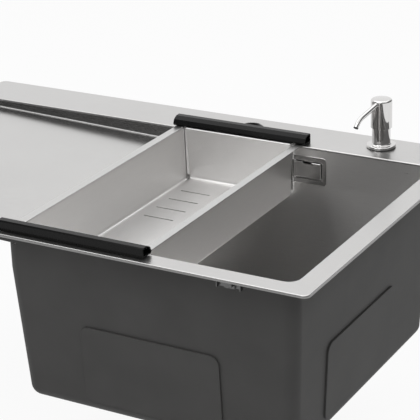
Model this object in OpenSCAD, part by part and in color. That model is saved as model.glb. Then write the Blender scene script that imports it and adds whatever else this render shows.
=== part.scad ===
// Inset kitchen sink with a sloped drainboard, one square bowl, a colander tray
// that slides on the rim, a pump soap dispenser, an overflow and a basket waste.
// Sizes are in millimetres. Places are measured from the front left corner of
// the deck, and the origin is the centre of the tap hole on top of the deck.

/* [Deck] */
// Overall width of the sink
deck_w = 780; // [700:1:860]
// Overall depth from the front edge to the back edge
deck_d = 510; // [480:1:560]
// Thickness of the steel sheet
sheet_t = 1.2; // [1:0.1:1.5]
// Radius of the outer corners of the deck
deck_corner_r = 8; // [7.9:0.1:14]
// Height of the turned-down outer edge
edge_h = 3.6; // [3.2:0.1:6]
// Flat rim in front of the bowl
rim_front = 23; // [20:0.5:30]
// Flat rim on the right of the bowl
rim_right = 25.5; // [20:0.5:40]
// Flat rim on the left of the drainboard
rim_left = 25; // [22:0.5:40]
// Flat ledge behind the bowl, which carries the tap and the dispenser
ledge_d = 75; // [70:0.5:90]
// Radius of the roll from the deck into the bowl
roll_r = 3; // [2:0.1:5]

/* [Bowl] */
// Inside width of the bowl
bowl_w = 400; // [340:1:430]
// Height of the bowl from the deck top to the underside of its floor
bowl_h = 239; // [180:1:260]
// Inside radius of the upright corners
bowl_corner_r = 16; // [12:0.5:24]
// Radius between the walls and the floor
floor_bend_r = 14; // [8:0.5:20]
// How far each wall leans in at the floor
wall_lean = 9.8; // [4:0.2:14]
// Fall of the floor towards the drain
floor_fall = 3; // [2:0.5:6]

/* [Drainboard] */
// Depth of the drainboard at its outer end
board_shallow = 11.5; // [8:0.5:14]
// Depth of the drainboard where it meets the bowl
board_deep = 21; // [17:0.5:21.5]
// Width of the stiffeners under the drainboard
stiffener_w = 44; // [30:1:60]
// Height of the stiffeners
stiffener_h = 12; // [8:0.5:16]

/* [Sound pads] */
// Length of a pad
pad_w = 195; // [150:1:240]
// Height of a pad
pad_h = 106; // [70:1:108]
// Thickness of a pad
pad_t = 2.5; // [2:0.1:3.5]
// Depth of the upper edge of the pads below the deck
pad_top = 116; // [110:1:120]
// How far the side pads lie in front of the middle of the bowl
pad_shift = 20; // [0:1:30]

/* [Tap ledge] */
// Distance of the tap hole from the bowl's left wall
tap_in = 104.5; // [70:0.5:148]
// Distance of the tap and dispenser centres from the back edge
ledge_line = 35; // [34.5:0.5:42]
// Radius of the tap hole
tap_r = 17.5; // [16:0.1:18]
// Distance of the soap dispenser from the tap hole
dispenser_gap = 201; // [150:1:230]

/* [Tray] */
// Distance of the middle of the tray from the bowl's left wall
tray_in = 107; // [105.5:0.5:288]
// Outside width over the side flanges
tray_w = 199; // [150:1:202]
// Width of the side flanges
tray_flange_w = 11; // [8:0.5:16]
// Depth of the tray below the deck
tray_h = 75; // [50:1:110]
// Gap between the tray and the bowl, in front and behind, at the foot of the tray
tray_gap = 1; // [0.9:0.1:4]
// Lean of the long walls of the tray
tray_lean = 4.5; // [2:0.5:8]
// Inside radius of the corners of the tray
tray_corner_r = 5; // [4:0.5:10]
// Length of a drain slot
slot_l = 47; // [30:1:60]
// Width of a drain slot
slot_w = 2.2; // [1.6:0.1:4]
// Distance from one slot to the next
slot_pitch = 33.5; // [15:0.5:36]
// Slots in each of the four groups
slot_count = 4; // [2:1:4]
// Width of a handle rail, front to back
handle_d = 19; // [17:0.5:22]
// Height of a handle rail above the tray flange
handle_h = 12.5; // [12:0.1:18]
// How far the rails stand out past the side flanges
handle_over = 4.5; // [2:0.5:12]

/* [Dispenser] */
// Radius of the pump cap
cap_r = 14.6; // [14:0.1:16]
// Height of the top of the cap above the deck
cap_top = 69.5; // [66:0.5:80]
// Length of the cap
cap_l = 41; // [38:0.5:44]
// Radius of the base flange
base_r = 20; // [18:0.1:20.5]
// Radius of the threaded shank
shank_r = 13; // [12.8:0.1:13.4]
// Length of the shank below the deck
shank_l = 62; // [50:1:80]
// Reach of the spout from the middle of the cap
spout_reach = 62.5; // [58:0.5:75]
// Outside radius of the spout
spout_r = 3.3; // [2.6:0.1:3.4]
// Travel of the pump
pump_stroke = 12; // [8:0.5:12]
// Radius of the soap bottle
bottle_r = 30; // [24:0.5:31]
// Depth of the bottom of the bottle below the deck
bottle_bottom = 190; // [150:1:230]

/* [Overflow] */
// Distance of the overflow from the bowl's left wall
overflow_in = 214.5; // [190:0.5:228]
// Depth of the middle of the overflow below the deck
overflow_z = 33.5; // [32:0.5:45]
// Width of the overflow frame
overflow_w = 58; // [50:1:66]
// Height of the overflow frame
overflow_h = 40; // [36:1:50]
// Width of the cover plate in the overflow
cover_w = 41; // [34:0.5:44]
// Height of the cover plate
cover_h = 22.5; // [18:0.5:26]
// Outside radius of the overflow pipe
pipe_r = 8.9; // [8:0.1:8.9]

/* [Waste] */
// Radius of the hole in the floor of the bowl
drain_r = 45; // [44.5:0.1:46]
// Radius of the strainer flange
strainer_r = 57; // [54:0.5:58]
// Depth of the strainer cup
strainer_h = 44; // [40:0.5:50]
// Radius over the thread of the outlet
outlet_r = 23.9; // [20:0.1:24.5]
// Length of the threaded outlet
outlet_l = 34; // [25:1:45]

/* [Hidden] */
$fn = 64;

steel = [0.78, 0.78, 0.77];
coat = [0.30, 0.30, 0.29];
rubber = [0.12, 0.12, 0.12];
plastic = [0.86, 0.86, 0.84];
chrome = [0.85, 0.86, 0.87];

// Joints that slide or turn have this clearance between their radii
run_gap = 0.08;
// Parts that only pass through a hole have this clearance
pass_gap = 0.5;
// Overlap of cutting tools past the faces that they cut
over = 1;

// The walls stand upright as far as the foot of the overflow, and lean in below it
straight_h = overflow_z + overflow_h / 2 + 3;

// Inside faces of the bowl and of the drainboard
bowl_x1 = deck_w - rim_right - roll_r;
bowl_x0 = bowl_x1 - bowl_w;
open_y0 = rim_front + roll_r;
open_y1 = deck_d - ledge_d - roll_r;
board_x0 = rim_left + roll_r;
bowl_cx = (bowl_x0 + bowl_x1) / 2;
bowl_cy = (open_y0 + open_y1) / 2;
bowl_half_x = bowl_w / 2;
bowl_half_y = (open_y1 - open_y0) / 2;

tap_x = bowl_x0 + tap_in;
tap_y = deck_d - ledge_line;
dispenser_x = tap_x + dispenser_gap;
dispenser_y = tap_y;
tray_x = bowl_x0 + tray_in;
overflow_x = bowl_x0 + overflow_in;

// The drainboard's side walls end where the bowl's corner radius ends
board_x1 = bowl_x0 + bowl_corner_r;
lean_angle = atan(wall_lean / (bowl_h - straight_h));
board_slope = atan((board_deep - board_shallow) / (bowl_x0 - board_x0));

drain_in = bowl_h - sheet_t + floor_fall;
drain_out = bowl_h + floor_fall;
recess_r = strainer_r + 1;

pipe_y = open_y1 + sheet_t + pipe_r + 8.5;
pipe_z = drain_out + 30;
pipe_bend_r = 30;
pipe_turn = atan2(overflow_x - bowl_cx, pipe_y - bowl_cy);
pipe_run = norm([overflow_x - bowl_cx, pipe_y - bowl_cy]);

// Depth of the drainboard surface at a distance from the left edge
function board_z(x) = -board_shallow - (x - board_x0) * tan(board_slope);

// How far the bowl's wall leans in at a height
function lean_at(z) = z > -straight_h ? 0 : wall_lean * (-z - straight_h) / (bowl_h - straight_h);

// Points of an arc, from one angle to another
function arc(cx, cy, r, a0, a1, n) =
    [for (i = [0:n]) let (a = a0 + (a1 - a0) * i / n) [cx + r * cos(a), cy + r * sin(a)]];

// Corner points of a rounded rectangle, each corner in n steps
function rounded_points(hx, hy, r, n) =
    [for (q = [0:3], i = [0:n])
        let (sx = q == 0 || q == 3 ? 1 : -1, sy = q < 2 ? 1 : -1, a = 90 * (q + i / n))
        [sx * (hx - r) + r * cos(a), sy * (hy - r) + r * sin(a)]];

// The same number of points on a circle
function circle_points(r, n) =
    [for (q = [0:3], i = [0:n]) let (a = 90 * (q + (i + 0.5) / (n + 1))) [r * cos(a), r * sin(a)]];

// Solid through a stack of outlines, each with the same number of points, lowest first
module loft(outlines, heights) {
    n = len(outlines[0]);
    m = len(heights);
    points = [for (s = [0:m - 1], p = outlines[s]) [p.x, p.y, heights[s]]];
    sides = [for (s = [0:m - 2], k = [0:n - 1])
        let (a = s * n + k, b = s * n + (k + 1) % n)
        each [[a, a + n, b + n], [a, b + n, b]]];
    polyhedron(points = points, faces = concat(sides, [[for (k = [0:n - 1]) k]],
        [[for (k = [n - 1:-1:0]) (m - 1) * n + k]]));
}

// Round bar along stations, each with a place and two directions across the bar
module sweep_bar(stations, r, sides) {
    n = len(stations);
    points = [for (s = stations, k = [0:sides - 1]) let (b = 360 * k / sides)
        s[0] + r * cos(b) * s[1] + r * sin(b) * s[2]];
    skin = [for (i = [0:n - 2], k = [0:sides - 1])
        let (p = i * sides, q = p + sides, k2 = (k + 1) % sides)
        each [[p + k, q + k, q + k2], [p + k, q + k2, p + k2]]];
    polyhedron(points = points, faces = concat(skin, [[for (k = [sides - 1:-1:0]) k]],
        [[for (k = [0:sides - 1]) (n - 1) * sides + k]]));
}

// Moves a shape from the deck's corner frame to the part's origin
module from_corner() {
    translate([-tap_x, -tap_y, 0]) children();
}

module at_drain() {
    from_corner() translate([bowl_cx, bowl_cy, 0]) children();
}

module at_dispenser() {
    from_corner() translate([dispenser_x, dispenser_y, 0]) children();
}

module at_tray() {
    from_corner() translate([tray_x, bowl_cy, 0]) children();
}

// Overflow's own frame: X to the right, Y up along the wall, Z out of the wall into the bowl
module at_overflow_corner() {
    translate([overflow_x, open_y1, -overflow_z]) rotate([90, 0, 0]) children();
}

module at_overflow() {
    from_corner() at_overflow_corner() children();
}

// Flat rectangle with round corners, from its lower left corner
module rounded(w, d, r) {
    union() {
        translate([r, 0]) square([w - 2 * r, d]);
        translate([0, r]) square([w, d - 2 * r]);
        for (x = [r, w - r], y = [r, d - r])
            translate([x, y]) circle(r = r);
    }
}

module rounded_centred(w, d, r) {
    translate([-w / 2, -d / 2]) rounded(w, d, r);
}

// Sweeps a section round a rounded rectangle: section X points outwards, Y points up
module sweep_round(w, d, r) {
    for (k = [0:3]) {
        run = k % 2 == 0 ? d - 2 * r : w - 2 * r;
        half = k % 2 == 0 ? w / 2 : d / 2;
        rotate([0, 0, 90 * k]) {
            translate([half, run / 2, 0]) rotate([90, 0, 0])
                linear_extrude(run) children();
            translate([half - r, run / 2, 0]) rotate_extrude(angle = 90)
                translate([r, 0]) children();
        }
    }
}

module ring(r_out, r_in, h) {
    difference() {
        cylinder(r = r_out, h = h);
        translate([0, 0, -over]) cylinder(r = r_in, h = h + 2 * over);
    }
}

// ---- shell of the sink ----

// Quarter of a bent sheet that rolls from the deck into the bowl
module roll_section() {
    translate([roll_r, -roll_r]) intersection() {
        difference() {
            circle(r = roll_r);
            circle(r = roll_r - sheet_t);
        }
        translate([-2 * roll_r, 0]) square(2 * roll_r);
    }
}

// Outer edge of the deck: a bend and a short upright lip
module lip_section() {
    lip_r = sheet_t + 0.6;
    translate([-lip_r, -lip_r]) intersection() {
        difference() {
            circle(r = lip_r);
            circle(r = lip_r - sheet_t);
        }
        square(2 * lip_r);
    }
    translate([-sheet_t, -edge_h]) square([sheet_t, edge_h - lip_r]);
}

module deck() {
    lip_r = sheet_t + 0.6;
    open_w = bowl_x1 - board_x0;
    open_d = open_y1 - open_y0;
    color(steel) from_corner() {
        difference() {
            translate([lip_r, lip_r, -sheet_t]) linear_extrude(sheet_t)
                rounded(deck_w - 2 * lip_r, deck_d - 2 * lip_r, deck_corner_r - lip_r);
            translate([board_x0 - roll_r, open_y0 - roll_r, -sheet_t - over])
                linear_extrude(sheet_t + 2 * over)
                rounded(open_w + 2 * roll_r, open_d + 2 * roll_r, bowl_corner_r + roll_r);
            translate([tap_x, tap_y, -sheet_t - over]) cylinder(r = tap_r, h = sheet_t + 2 * over);
            translate([dispenser_x, dispenser_y, -sheet_t - over])
                cylinder(r = shank_r + pass_gap, h = sheet_t + 2 * over);
        }
        translate([deck_w / 2, deck_d / 2, 0]) sweep_round(deck_w, deck_d, deck_corner_r)
            lip_section();
        translate([board_x0 + open_w / 2, open_y0 + open_d / 2, 0])
            sweep_round(open_w, open_d, bowl_corner_r) roll_section();
    }
}

// Body of the bowl's cavity, grown outwards by a wall and downwards by a floor
module bowl_form(wall, floor_z, top_z) {
    n = 6;
    bend_steps = 5;
    bend_r = floor_bend_r + wall;
    bend_z = floor_z + bend_r;
    levels = concat(
        [for (i = [bend_steps:-1:0]) let (a = 90 * i / bend_steps)
            [bend_z - bend_r * sin(a), lean_at(bend_z) + bend_r * (1 - cos(a))]],
        [[-straight_h, 0], [top_z, 0]]);
    outlines = [for (level = levels) rounded_points(bowl_half_x + wall - level.y,
        bowl_half_y + wall - level.y, bowl_corner_r + wall, n)];
    translate([bowl_cx, bowl_cy, 0]) loft(
        concat([circle_points(recess_r + wall, n)], outlines),
        concat([floor_z - floor_fall], [for (level = levels) level.x]));
}

// Everything above the drainboard's sheet, from a depth below its surface
module above_board(drop, x0, x1, y0, y1) {
    translate([0, y1, 0]) rotate([90, 0, 0]) linear_extrude(y1 - y0)
        polygon([[x0, board_z(x0) - drop], [x1, board_z(x1) - drop], [x1, over], [x0, over]]);
}

module bowl() {
    color(coat) from_corner() difference() {
        bowl_form(sheet_t, -bowl_h, -roll_r);
        bowl_form(0, sheet_t - bowl_h, over);
        above_board(sheet_t, board_x0 - 2 * sheet_t, board_x1,
            open_y0 - 2 * sheet_t, open_y1 + 2 * sheet_t);
        translate([bowl_cx, bowl_cy, -drain_out - over]) cylinder(r = drain_r, h = 20);
        translate([overflow_x, open_y1 + sheet_t + over, -overflow_z])
            rotate([90, 0, 0]) linear_extrude(4 * sheet_t + over)
            rounded_centred(overflow_w - 10, overflow_h - 10, 3);
        at_overflow_corner() translate([0, 0, -2 * sheet_t]) stud_holes(stud_r + 0.1, 3 * sheet_t);
    }
}

module drainboard() {
    w = board_x1 - board_x0;
    d = open_y1 - open_y0;
    color(steel) from_corner() difference() {
        intersection() {
            translate([board_x0 - sheet_t, open_y0 - sheet_t, -board_deep - 10])
                linear_extrude(board_deep + 10 - roll_r)
                rounded(w + 2 * bowl_w, d + 2 * sheet_t, bowl_corner_r + sheet_t);
            above_board(sheet_t, board_x0 - sheet_t, board_x1,
                open_y0 - sheet_t, open_y1 + sheet_t);
        }
        intersection() {
            translate([board_x0, open_y0, -board_deep - 10]) linear_extrude(board_deep + 20)
                rounded(w + 2 * bowl_w, d, bowl_corner_r);
            above_board(0, board_x0, board_x1 + over, open_y0, open_y1);
        }
        bowl_form(0, sheet_t - bowl_h, over);
    }
}

// Places a pad on a wall of the bowl: 0 front, 1 right, 2 rear, 3 left
module on_wall(side, along) {
    half = side % 2 == 0 ? bowl_half_y : bowl_half_x;
    z = -pad_top - pad_h;
    from_corner() translate([bowl_cx, bowl_cy, 0]) rotate([0, 0, 90 * side])
        translate([along, -half - sheet_t + lean_at(z), z])
        rotate([90 + lean_angle, 0, 0]) children();
}

module wall_pad(side, along) {
    color(coat) on_wall(side, along) translate([-pad_w / 2, 0, 0])
        linear_extrude(pad_t) rounded(pad_w, pad_h, 12);
}

module pad_front() {
    wall_pad(0, 0);
}

module pad_rear() {
    wall_pad(2, 0);
}

module pad_left() {
    wall_pad(3, pad_shift);
}

module pad_right() {
    wall_pad(1, -pad_shift);
}

module pad_base() {
    base_w = 2 * (bowl_half_x - wall_lean - floor_bend_r) - 40;
    base_d = 2 * (bowl_half_y - wall_lean - floor_bend_r) - 40;
    color(coat) from_corner() difference() {
        intersection() {
            bowl_form(sheet_t, -bowl_h - pad_t, -straight_h - 10);
            translate([bowl_cx, bowl_cy, -drain_out - 10]) linear_extrude(30)
                rounded_centred(base_w, base_d, 12);
        }
        bowl_form(sheet_t, -bowl_h, -straight_h);
        translate([bowl_cx, bowl_cy, -drain_out - 10]) cylinder(r = recess_r + 4, h = 30);
    }
}

// Folded hat section, brim up
module hat_section() {
    brim = 9;
    foot = 5;
    w = stiffener_w / 2;
    difference() {
        polygon([[-w, 0], [w, 0], [w, -sheet_t], [w - brim, -sheet_t],
            [w - brim - foot, -stiffener_h], [-(w - brim - foot), -stiffener_h],
            [-(w - brim), -sheet_t], [-w, -sheet_t]]);
        polygon([[-(w - brim - sheet_t), over], [w - brim - sheet_t, over],
            [w - brim - sheet_t, -sheet_t], [w - brim - foot - sheet_t, sheet_t - stiffener_h],
            [-(w - brim - foot - sheet_t), sheet_t - stiffener_h], [-(w - brim - sheet_t), -sheet_t]]);
    }
}

module drainboard_stiffeners() {
    inset = 40;
    run = open_y1 - open_y0 - 2 * inset;
    color(steel) from_corner() for (share = [0.3, 0.7]) {
        x = board_x0 + share * (bowl_x0 - board_x0);
        translate([x, open_y1 - inset, board_z(x) - sheet_t - 0.02]) rotate([0, board_slope, 0])
            rotate([90, 0, 0]) linear_extrude(run) hat_section();
    }
}

module tap_brace() {
    brace_t = 3;
    color(steel) translate([0, 0, -sheet_t - brace_t]) difference() {
        linear_extrude(brace_t) rounded_centred(130, 2 * (ledge_line - 10), 6);
        translate([0, 0, -over]) cylinder(r = tap_r + pass_gap, h = brace_t + 2 * over);
    }
}

module rim_seal() {
    color(rubber) from_corner() translate([deck_w / 2, deck_d / 2, 0])
        sweep_round(deck_w, deck_d, deck_corner_r)
        translate([-7.4, -edge_h - 0.4]) square([5, edge_h + 0.4 - sheet_t]);
}

// ---- clips under the rim ----

clip_w = 32;
clip_y0 = 9;
clip_y1 = 20;
clip_drop = 18;
clip_wall = 1.2;
clip_screw_r = 2.5;
clip_screw_y = clip_y0 + 4.6;
// Height of the gripping plate of the hooks
hook_z = -13;
hook_t = 1.5;
// Place and turn of each clip: along the front, the rear and the left edge
clip_places = concat(
    [for (x = [110, 290, deck_w - 108]) [x, 0, 0]],
    [for (x = [110, 290, deck_w - 60]) [x, deck_d, 180]],
    [for (y = [140, deck_d - 180]) [0, y, -90]]);

module at_clips() {
    from_corner() for (place = clip_places)
        translate([place.x, place.y, 0]) rotate([0, 0, place.z]) children();
}

module clip_brackets() {
    depth = clip_y1 - clip_y0;
    color(steel) at_clips() difference() {
        translate([-clip_w / 2, clip_y0, -clip_drop]) cube([clip_w, depth, clip_drop - sheet_t]);
        translate([clip_wall - clip_w / 2, clip_y0 - over, -clip_drop - over])
            cube([clip_w - 2 * clip_wall, depth - clip_wall + over,
                clip_drop - sheet_t - clip_wall + over]);
        // the cheeks are cut back towards the front
        translate([-clip_w / 2 - over, clip_y0 - over, -clip_drop - over])
            cube([clip_w + 2 * over, 5 + over, 9 + over]);
        translate([0, clip_screw_y, -sheet_t - 3]) cylinder(r = clip_screw_r + 0.05, h = 4);
    }
}

// Hook that hangs on the screw and grips the worktop from below
module clip_hooks() {
    jaw_w = 14;
    jaw_d = 8.6;
    color(steel) at_clips() difference() {
        translate([-jaw_w / 2, clip_y0 + 0.4, 0]) {
            translate([0, 0, hook_z]) cube([jaw_w, hook_t, 9]);
            translate([0, 0, hook_z]) cube([jaw_w, jaw_d, hook_t]);
            translate([0, jaw_d - hook_t, hook_z - 5]) cube([jaw_w, hook_t, 5 + hook_t]);
        }
        translate([0, clip_screw_y, hook_z - over]) cylinder(r = clip_screw_r + 0.3, h = 4);
    }
}

module clip_screws() {
    head_h = 2.4;
    color(steel) at_clips() translate([0, clip_screw_y, hook_z - head_h]) {
        cylinder(r = 2.9, h = head_h);
        cylinder(r = clip_screw_r, h = head_h - hook_z - sheet_t - 0.1);
    }
}

// ---- overflow ----

frame_t = 0.8;
frame_dish = 2.2;
post_r = 2.5;
// The screws of the housing sit this far from the middle
stud_x = overflow_w / 2 - 2.2;
stud_r = 1.5;

// Where the screws pass through the wall, the gasket and the housing
module stud_holes(r, h) {
    for (sx = [-1, 1]) translate([sx * stud_x, 0, 0]) cylinder(r = r, h = h);
}

// Pressed frame that lines the hole: a flat border and a shallow dish with a slot
module overflow_frame() {
    color(steel) at_overflow() difference() {
        union() {
            linear_extrude(frame_t) rounded_centred(overflow_w, overflow_h, 5);
            translate([0, 0, -frame_dish - frame_t])
                linear_extrude(frame_dish + frame_t)
                rounded_centred(overflow_w - 11, overflow_h - 11, 2.5);
        }
        translate([0, 0, -frame_dish]) linear_extrude(frame_dish + 2 * frame_t)
            rounded_centred(overflow_w - 13, overflow_h - 13, 1.5);
        // water passes through slots above and below the cover's post
        for (sy = [-1, 1]) translate([0, sy * 8, -frame_dish - 2 * frame_t])
            linear_extrude(4 * frame_t) rounded_centred(cover_w - 8, 5, 2);
        translate([0, 0, -frame_dish - 2 * frame_t]) cylinder(r = post_r + run_gap, h = 4 * frame_t);
    }
}

// Cover plate with turned edges, a finger notch in its upper edge and a snap post
module overflow_cover() {
    stand = -1.4;
    plate_t = 1.2;
    notch_w = 13;
    color(steel) at_overflow() {
        difference() {
            translate([0, 0, stand]) linear_extrude(2 * plate_t)
                rounded_centred(cover_w, cover_h, 1.5);
            translate([0, 0, stand - over]) linear_extrude(plate_t + over)
                rounded_centred(cover_w - 2 * plate_t, cover_h - 2 * plate_t, 0.8);
            translate([-notch_w / 2, cover_h / 2 - 2, stand - over]) cube([notch_w, 4, 2 * plate_t + 4]);
        }
        translate([0, 0, -frame_dish - frame_t - 1])
            cylinder(r = post_r, h = frame_dish + frame_t + 1 + stand + plate_t);
    }
}

module overflow_gasket() {
    gasket_t = 2;
    color(rubber) at_overflow() translate([0, 0, -sheet_t - gasket_t]) difference() {
        linear_extrude(gasket_t) rounded_centred(overflow_w + 2, overflow_h + 2, 6);
        translate([0, 0, -over]) linear_extrude(gasket_t + 2 * over)
            rounded_centred(overflow_w - 10, overflow_h - 10, 3);
        translate([0, 0, -over]) stud_holes(stud_r + 0.1, gasket_t + 2 * over);
    }
}

housing_front = sheet_t + 2;
housing_back = pipe_y - open_y1 + 13;

// Moulded box behind the wall, with a socket below for the pipe
module overflow_housing() {
    wall = 2;
    socket_r = pipe_r + 2.2;
    socket_top = overflow_h / 2 - 2;
    at_pipe = -(pipe_y - open_y1);
    color(plastic) at_overflow() difference() {
        union() {
            translate([0, 0, -housing_front - wall]) linear_extrude(wall)
                rounded_centred(overflow_w + 2, overflow_h + 2, 6);
            translate([0, 0, -housing_back]) linear_extrude(housing_back - housing_front)
                rounded_centred(overflow_w - 14, overflow_h - 4, 5);
            translate([0, -socket_top, at_pipe]) rotate([90, 0, 0])
                cylinder(r = socket_r, h = 16);
        }
        translate([0, 0, wall - housing_back]) linear_extrude(housing_back)
            rounded_centred(overflow_w - 14 - 2 * wall, overflow_h - 4 - 2 * wall, 3);
        translate([0, 0, at_pipe]) rotate([90, 0, 0])
            cylinder(r = pipe_r + 0.1, h = socket_top + 16 + over);
        translate([0, 0, -housing_front - wall - over]) stud_holes(stud_r + 0.1, wall + 2 * over);
    }
}

module overflow_screws() {
    reach = housing_front + 2;
    color(steel) at_overflow() for (sx = [-1, 1]) translate([sx * stud_x, 0, -reach - 2]) {
        cylinder(r = 2.8, h = 2);
        cylinder(r = stud_r, h = reach + 2);
    }
}

// Frame with its origin under the drain and Y towards the overflow pipe
module towards_pipe() {
    at_drain() rotate([0, 0, -pipe_turn]) children();
}

module pipe_section() {
    difference() {
        circle(r = pipe_r);
        circle(r = pipe_r - 1.5);
    }
}

inlet_y0 = 44;
inlet_y1 = 66;

module overflow_pipe() {
    up_z = -overflow_z - overflow_h / 2 - 4;
    color(plastic) towards_pipe() {
        translate([0, inlet_y0 + 8, -pipe_z]) rotate([-90, 0, 0])
            linear_extrude(pipe_run - pipe_bend_r - inlet_y0 - 8) pipe_section();
        translate([0, pipe_run - pipe_bend_r, pipe_bend_r - pipe_z]) rotate([0, 90, 0])
            rotate_extrude(angle = 90) translate([pipe_bend_r, 0]) pipe_section();
        translate([0, pipe_run, pipe_bend_r - pipe_z])
            linear_extrude(up_z + pipe_z - pipe_bend_r) pipe_section();
    }
}

// Union nuts that close the joints of the pipe
module pipe_nuts() {
    nut_h = 11;
    nut_r = pipe_r + 7;
    module nut() {
        difference() {
            union() {
                cylinder(r = nut_r, h = nut_h - 3, $fn = 12);
                cylinder(r = nut_r - 1.5, h = nut_h);
            }
            translate([0, 0, -over]) cylinder(r = pipe_r + 2.3, h = nut_h - 2 + over);
            cylinder(r = pipe_r + 0.1, h = nut_h + over);
        }
    }
    color(rubber) {
        towards_pipe() translate([0, inlet_y1 - nut_h + 2.4, -pipe_z]) rotate([-90, 0, 0]) nut();
        towards_pipe() translate([0, pipe_run, -overflow_z - overflow_h / 2 + 2 - 16 + nut_h - 2.4])
            rotate([180, 0, 0]) nut();
    }
}

// ---- waste ----

seal_t = 1;
cup_wall = 1.2;
cup_r = drain_r - 1.8;
cup_foot_r = 37;
flange_z = seal_t - drain_in;
cup_z = flange_z - strainer_h;

module strainer_cup() {
    color(steel) at_drain() difference() {
        rotate_extrude() polygon([
            [0, cup_z], [cup_foot_r, cup_z], [cup_r, cup_z + 8], [cup_r, flange_z],
            [strainer_r, flange_z], [strainer_r, flange_z + 0.8], [strainer_r - 3, flange_z + 1.6],
            [cup_r + 1, flange_z + 1.6], [cup_r - cup_wall, flange_z - 2],
            [cup_r - cup_wall, cup_z + 9], [cup_foot_r - 1, cup_z + cup_wall], [0, cup_z + cup_wall]]);
        translate([0, 0, cup_z - over]) cylinder(r = 3.2, h = cup_wall + 2 * over);
        for (a = [0:45:315]) rotate([0, 0, a]) translate([22, 0, cup_z - over])
            cylinder(r = 6.5, h = cup_wall + 2 * over);
    }
}

module strainer_seal() {
    color(rubber) at_drain() translate([0, 0, -drain_in])
        ring(strainer_r - 1, drain_r, seal_t);
}

gasket_h = 3;
body_top = -drain_out - gasket_h;
body_in_r = drain_r - 0.5;
body_wall = 2.4;
body_floor = cup_z - 22;

module waste_gasket() {
    color(rubber) at_drain() translate([0, 0, body_top])
        ring(drain_r + 9, drain_r, gasket_h);
}

module waste_body() {
    outlet_in_r = outlet_r - 3.4;
    color(plastic) at_drain() difference() {
        union() {
            rotate_extrude() polygon([
                [outlet_in_r, body_floor - outlet_l], [outlet_r, body_floor - outlet_l],
                [outlet_r, body_floor - 4], [body_in_r + body_wall, body_floor + 12],
                [body_in_r + body_wall, body_top - 6], [drain_r + 9, body_top - 4],
                [drain_r + 9, body_top], [body_in_r, body_top], [body_in_r, body_floor + 13],
                [outlet_in_r, body_floor]]);
            rotate([0, 0, -pipe_turn]) translate([0, inlet_y0 + 1, -pipe_z]) rotate([-90, 0, 0])
                cylinder(r = pipe_r + 2.2, h = inlet_y1 - inlet_y0 - 1);
            // bridge that takes the centre screw
            translate([0, 0, body_floor + 4]) {
                cylinder(r = 6, h = cup_z - body_floor - 4.6);
                for (a = [0, 120, 240]) rotate([0, 0, a]) translate([-1.25, 0, 0])
                    cube([2.5, outlet_in_r + 8, 8]);
            }
        }
        rotate([0, 0, -pipe_turn]) translate([0, inlet_y0 - 3, -pipe_z]) rotate([-90, 0, 0])
            cylinder(r = pipe_r + 0.1, h = inlet_y1 - inlet_y0 + 4);
        translate([0, 0, body_floor + 3]) cylinder(r = 3.1, h = cup_z - body_floor + 4);
    }
}

module waste_screw() {
    color(steel) at_drain() {
        translate([0, 0, body_floor + 8]) cylinder(r = 3, h = cup_z - body_floor - 8 + cup_wall);
        translate([0, 0, cup_z + cup_wall]) difference() {
            cylinder(r = 6.5, h = 2.4);
            translate([-7, -0.7, 1.4]) cube([14, 1.4, 2]);
        }
    }
}

// The stopper stands just clear of the screw's head
basket_z = cup_z + cup_wall + 2.4 + 0.3 + 1.5;
basket_r = cup_r - cup_wall - 3.2;
basket_h = strainer_h - 12;

module strainer_basket() {
    wall = 0.8;
    foot_r = basket_r - 5;
    top = basket_z + basket_h;
    color(steel) at_drain() difference() {
        rotate_extrude() polygon([
            [0, basket_z], [foot_r, basket_z], [basket_r, basket_z + 8], [basket_r, top - 1.4],
            [basket_r + 2.4, top - 1.4], [basket_r + 2.4, top], [basket_r - wall, top],
            [basket_r - wall, basket_z + 8.4], [foot_r - 0.3, basket_z + wall], [0, basket_z + wall]]);
        for (row = [1:3]) let (count = 6 * row) for (i = [0:count - 1])
            rotate([0, 0, 360 * i / count]) translate([3.5 + 7.5 * row, 0, basket_z - over])
                cylinder(r = 2, h = wall + 2 * over, $fn = 16);
        for (i = [0:11]) rotate([0, 0, 30 * i]) translate([basket_r - 2 * wall, 0, basket_z + 17])
            rotate([0, 90, 0]) cylinder(r = 2, h = 4 * wall, $fn = 16);
        translate([0, 0, basket_z - over]) cylinder(r = 2.6, h = wall + 2 * over);
    }
}

module basket_knob() {
    top = basket_z + basket_h;
    color(chrome) at_drain() rotate_extrude() polygon(concat(
        [[0, basket_z - 1.4], [2.5, basket_z - 1.4], [2.5, basket_z + 0.8], [4.5, basket_z + 0.8],
            [3, basket_z + 6], [3, top - 9], [7, top - 4]],
        arc(7, top - 1.5, 1.5, -60, 90, 6), [[0, top]]));
}

module basket_stopper() {
    color(rubber) at_drain() translate([0, 0, basket_z - 1.5]) difference() {
        union() {
            cylinder(r = basket_r - 6, h = 1.5);
            translate([0, 0, -2]) ring(basket_r - 6.5, basket_r - 10, 2.2);
        }
        translate([0, 0, -over]) cylinder(r = 2.6, h = 4);
    }
}

// ---- colander tray ----

flange_gap = 0.3;
flange_top = flange_gap + sheet_t;
tray_half_x = tray_w / 2 - tray_flange_w - sheet_t;
tray_half_y = bowl_half_y - tray_gap - lean_at(-tray_h) - sheet_t;
rail_y = bowl_half_y + 17.3;
relief = 7;
seam_w = 1;

// Inside of the tray, grown by a wall
module tray_form(wall, floor_z, top_z) {
    n = 4;
    steps = 3;
    bend_r = 4 + wall;
    lean = tray_lean * (1 - bend_r / tray_h);
    levels = concat(
        [for (i = [steps:-1:0]) let (a = 90 * i / steps)
            [floor_z + bend_r * (1 - sin(a)), lean + bend_r * (1 - cos(a)), bend_r * (1 - cos(a))]],
        [[top_z, 0, 0]]);
    loft([for (level = levels) rounded_points(tray_half_x + wall - level.y,
            tray_half_y + wall - level.z, tray_corner_r + wall, n)],
        [for (level = levels) level.x]);
}

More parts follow.
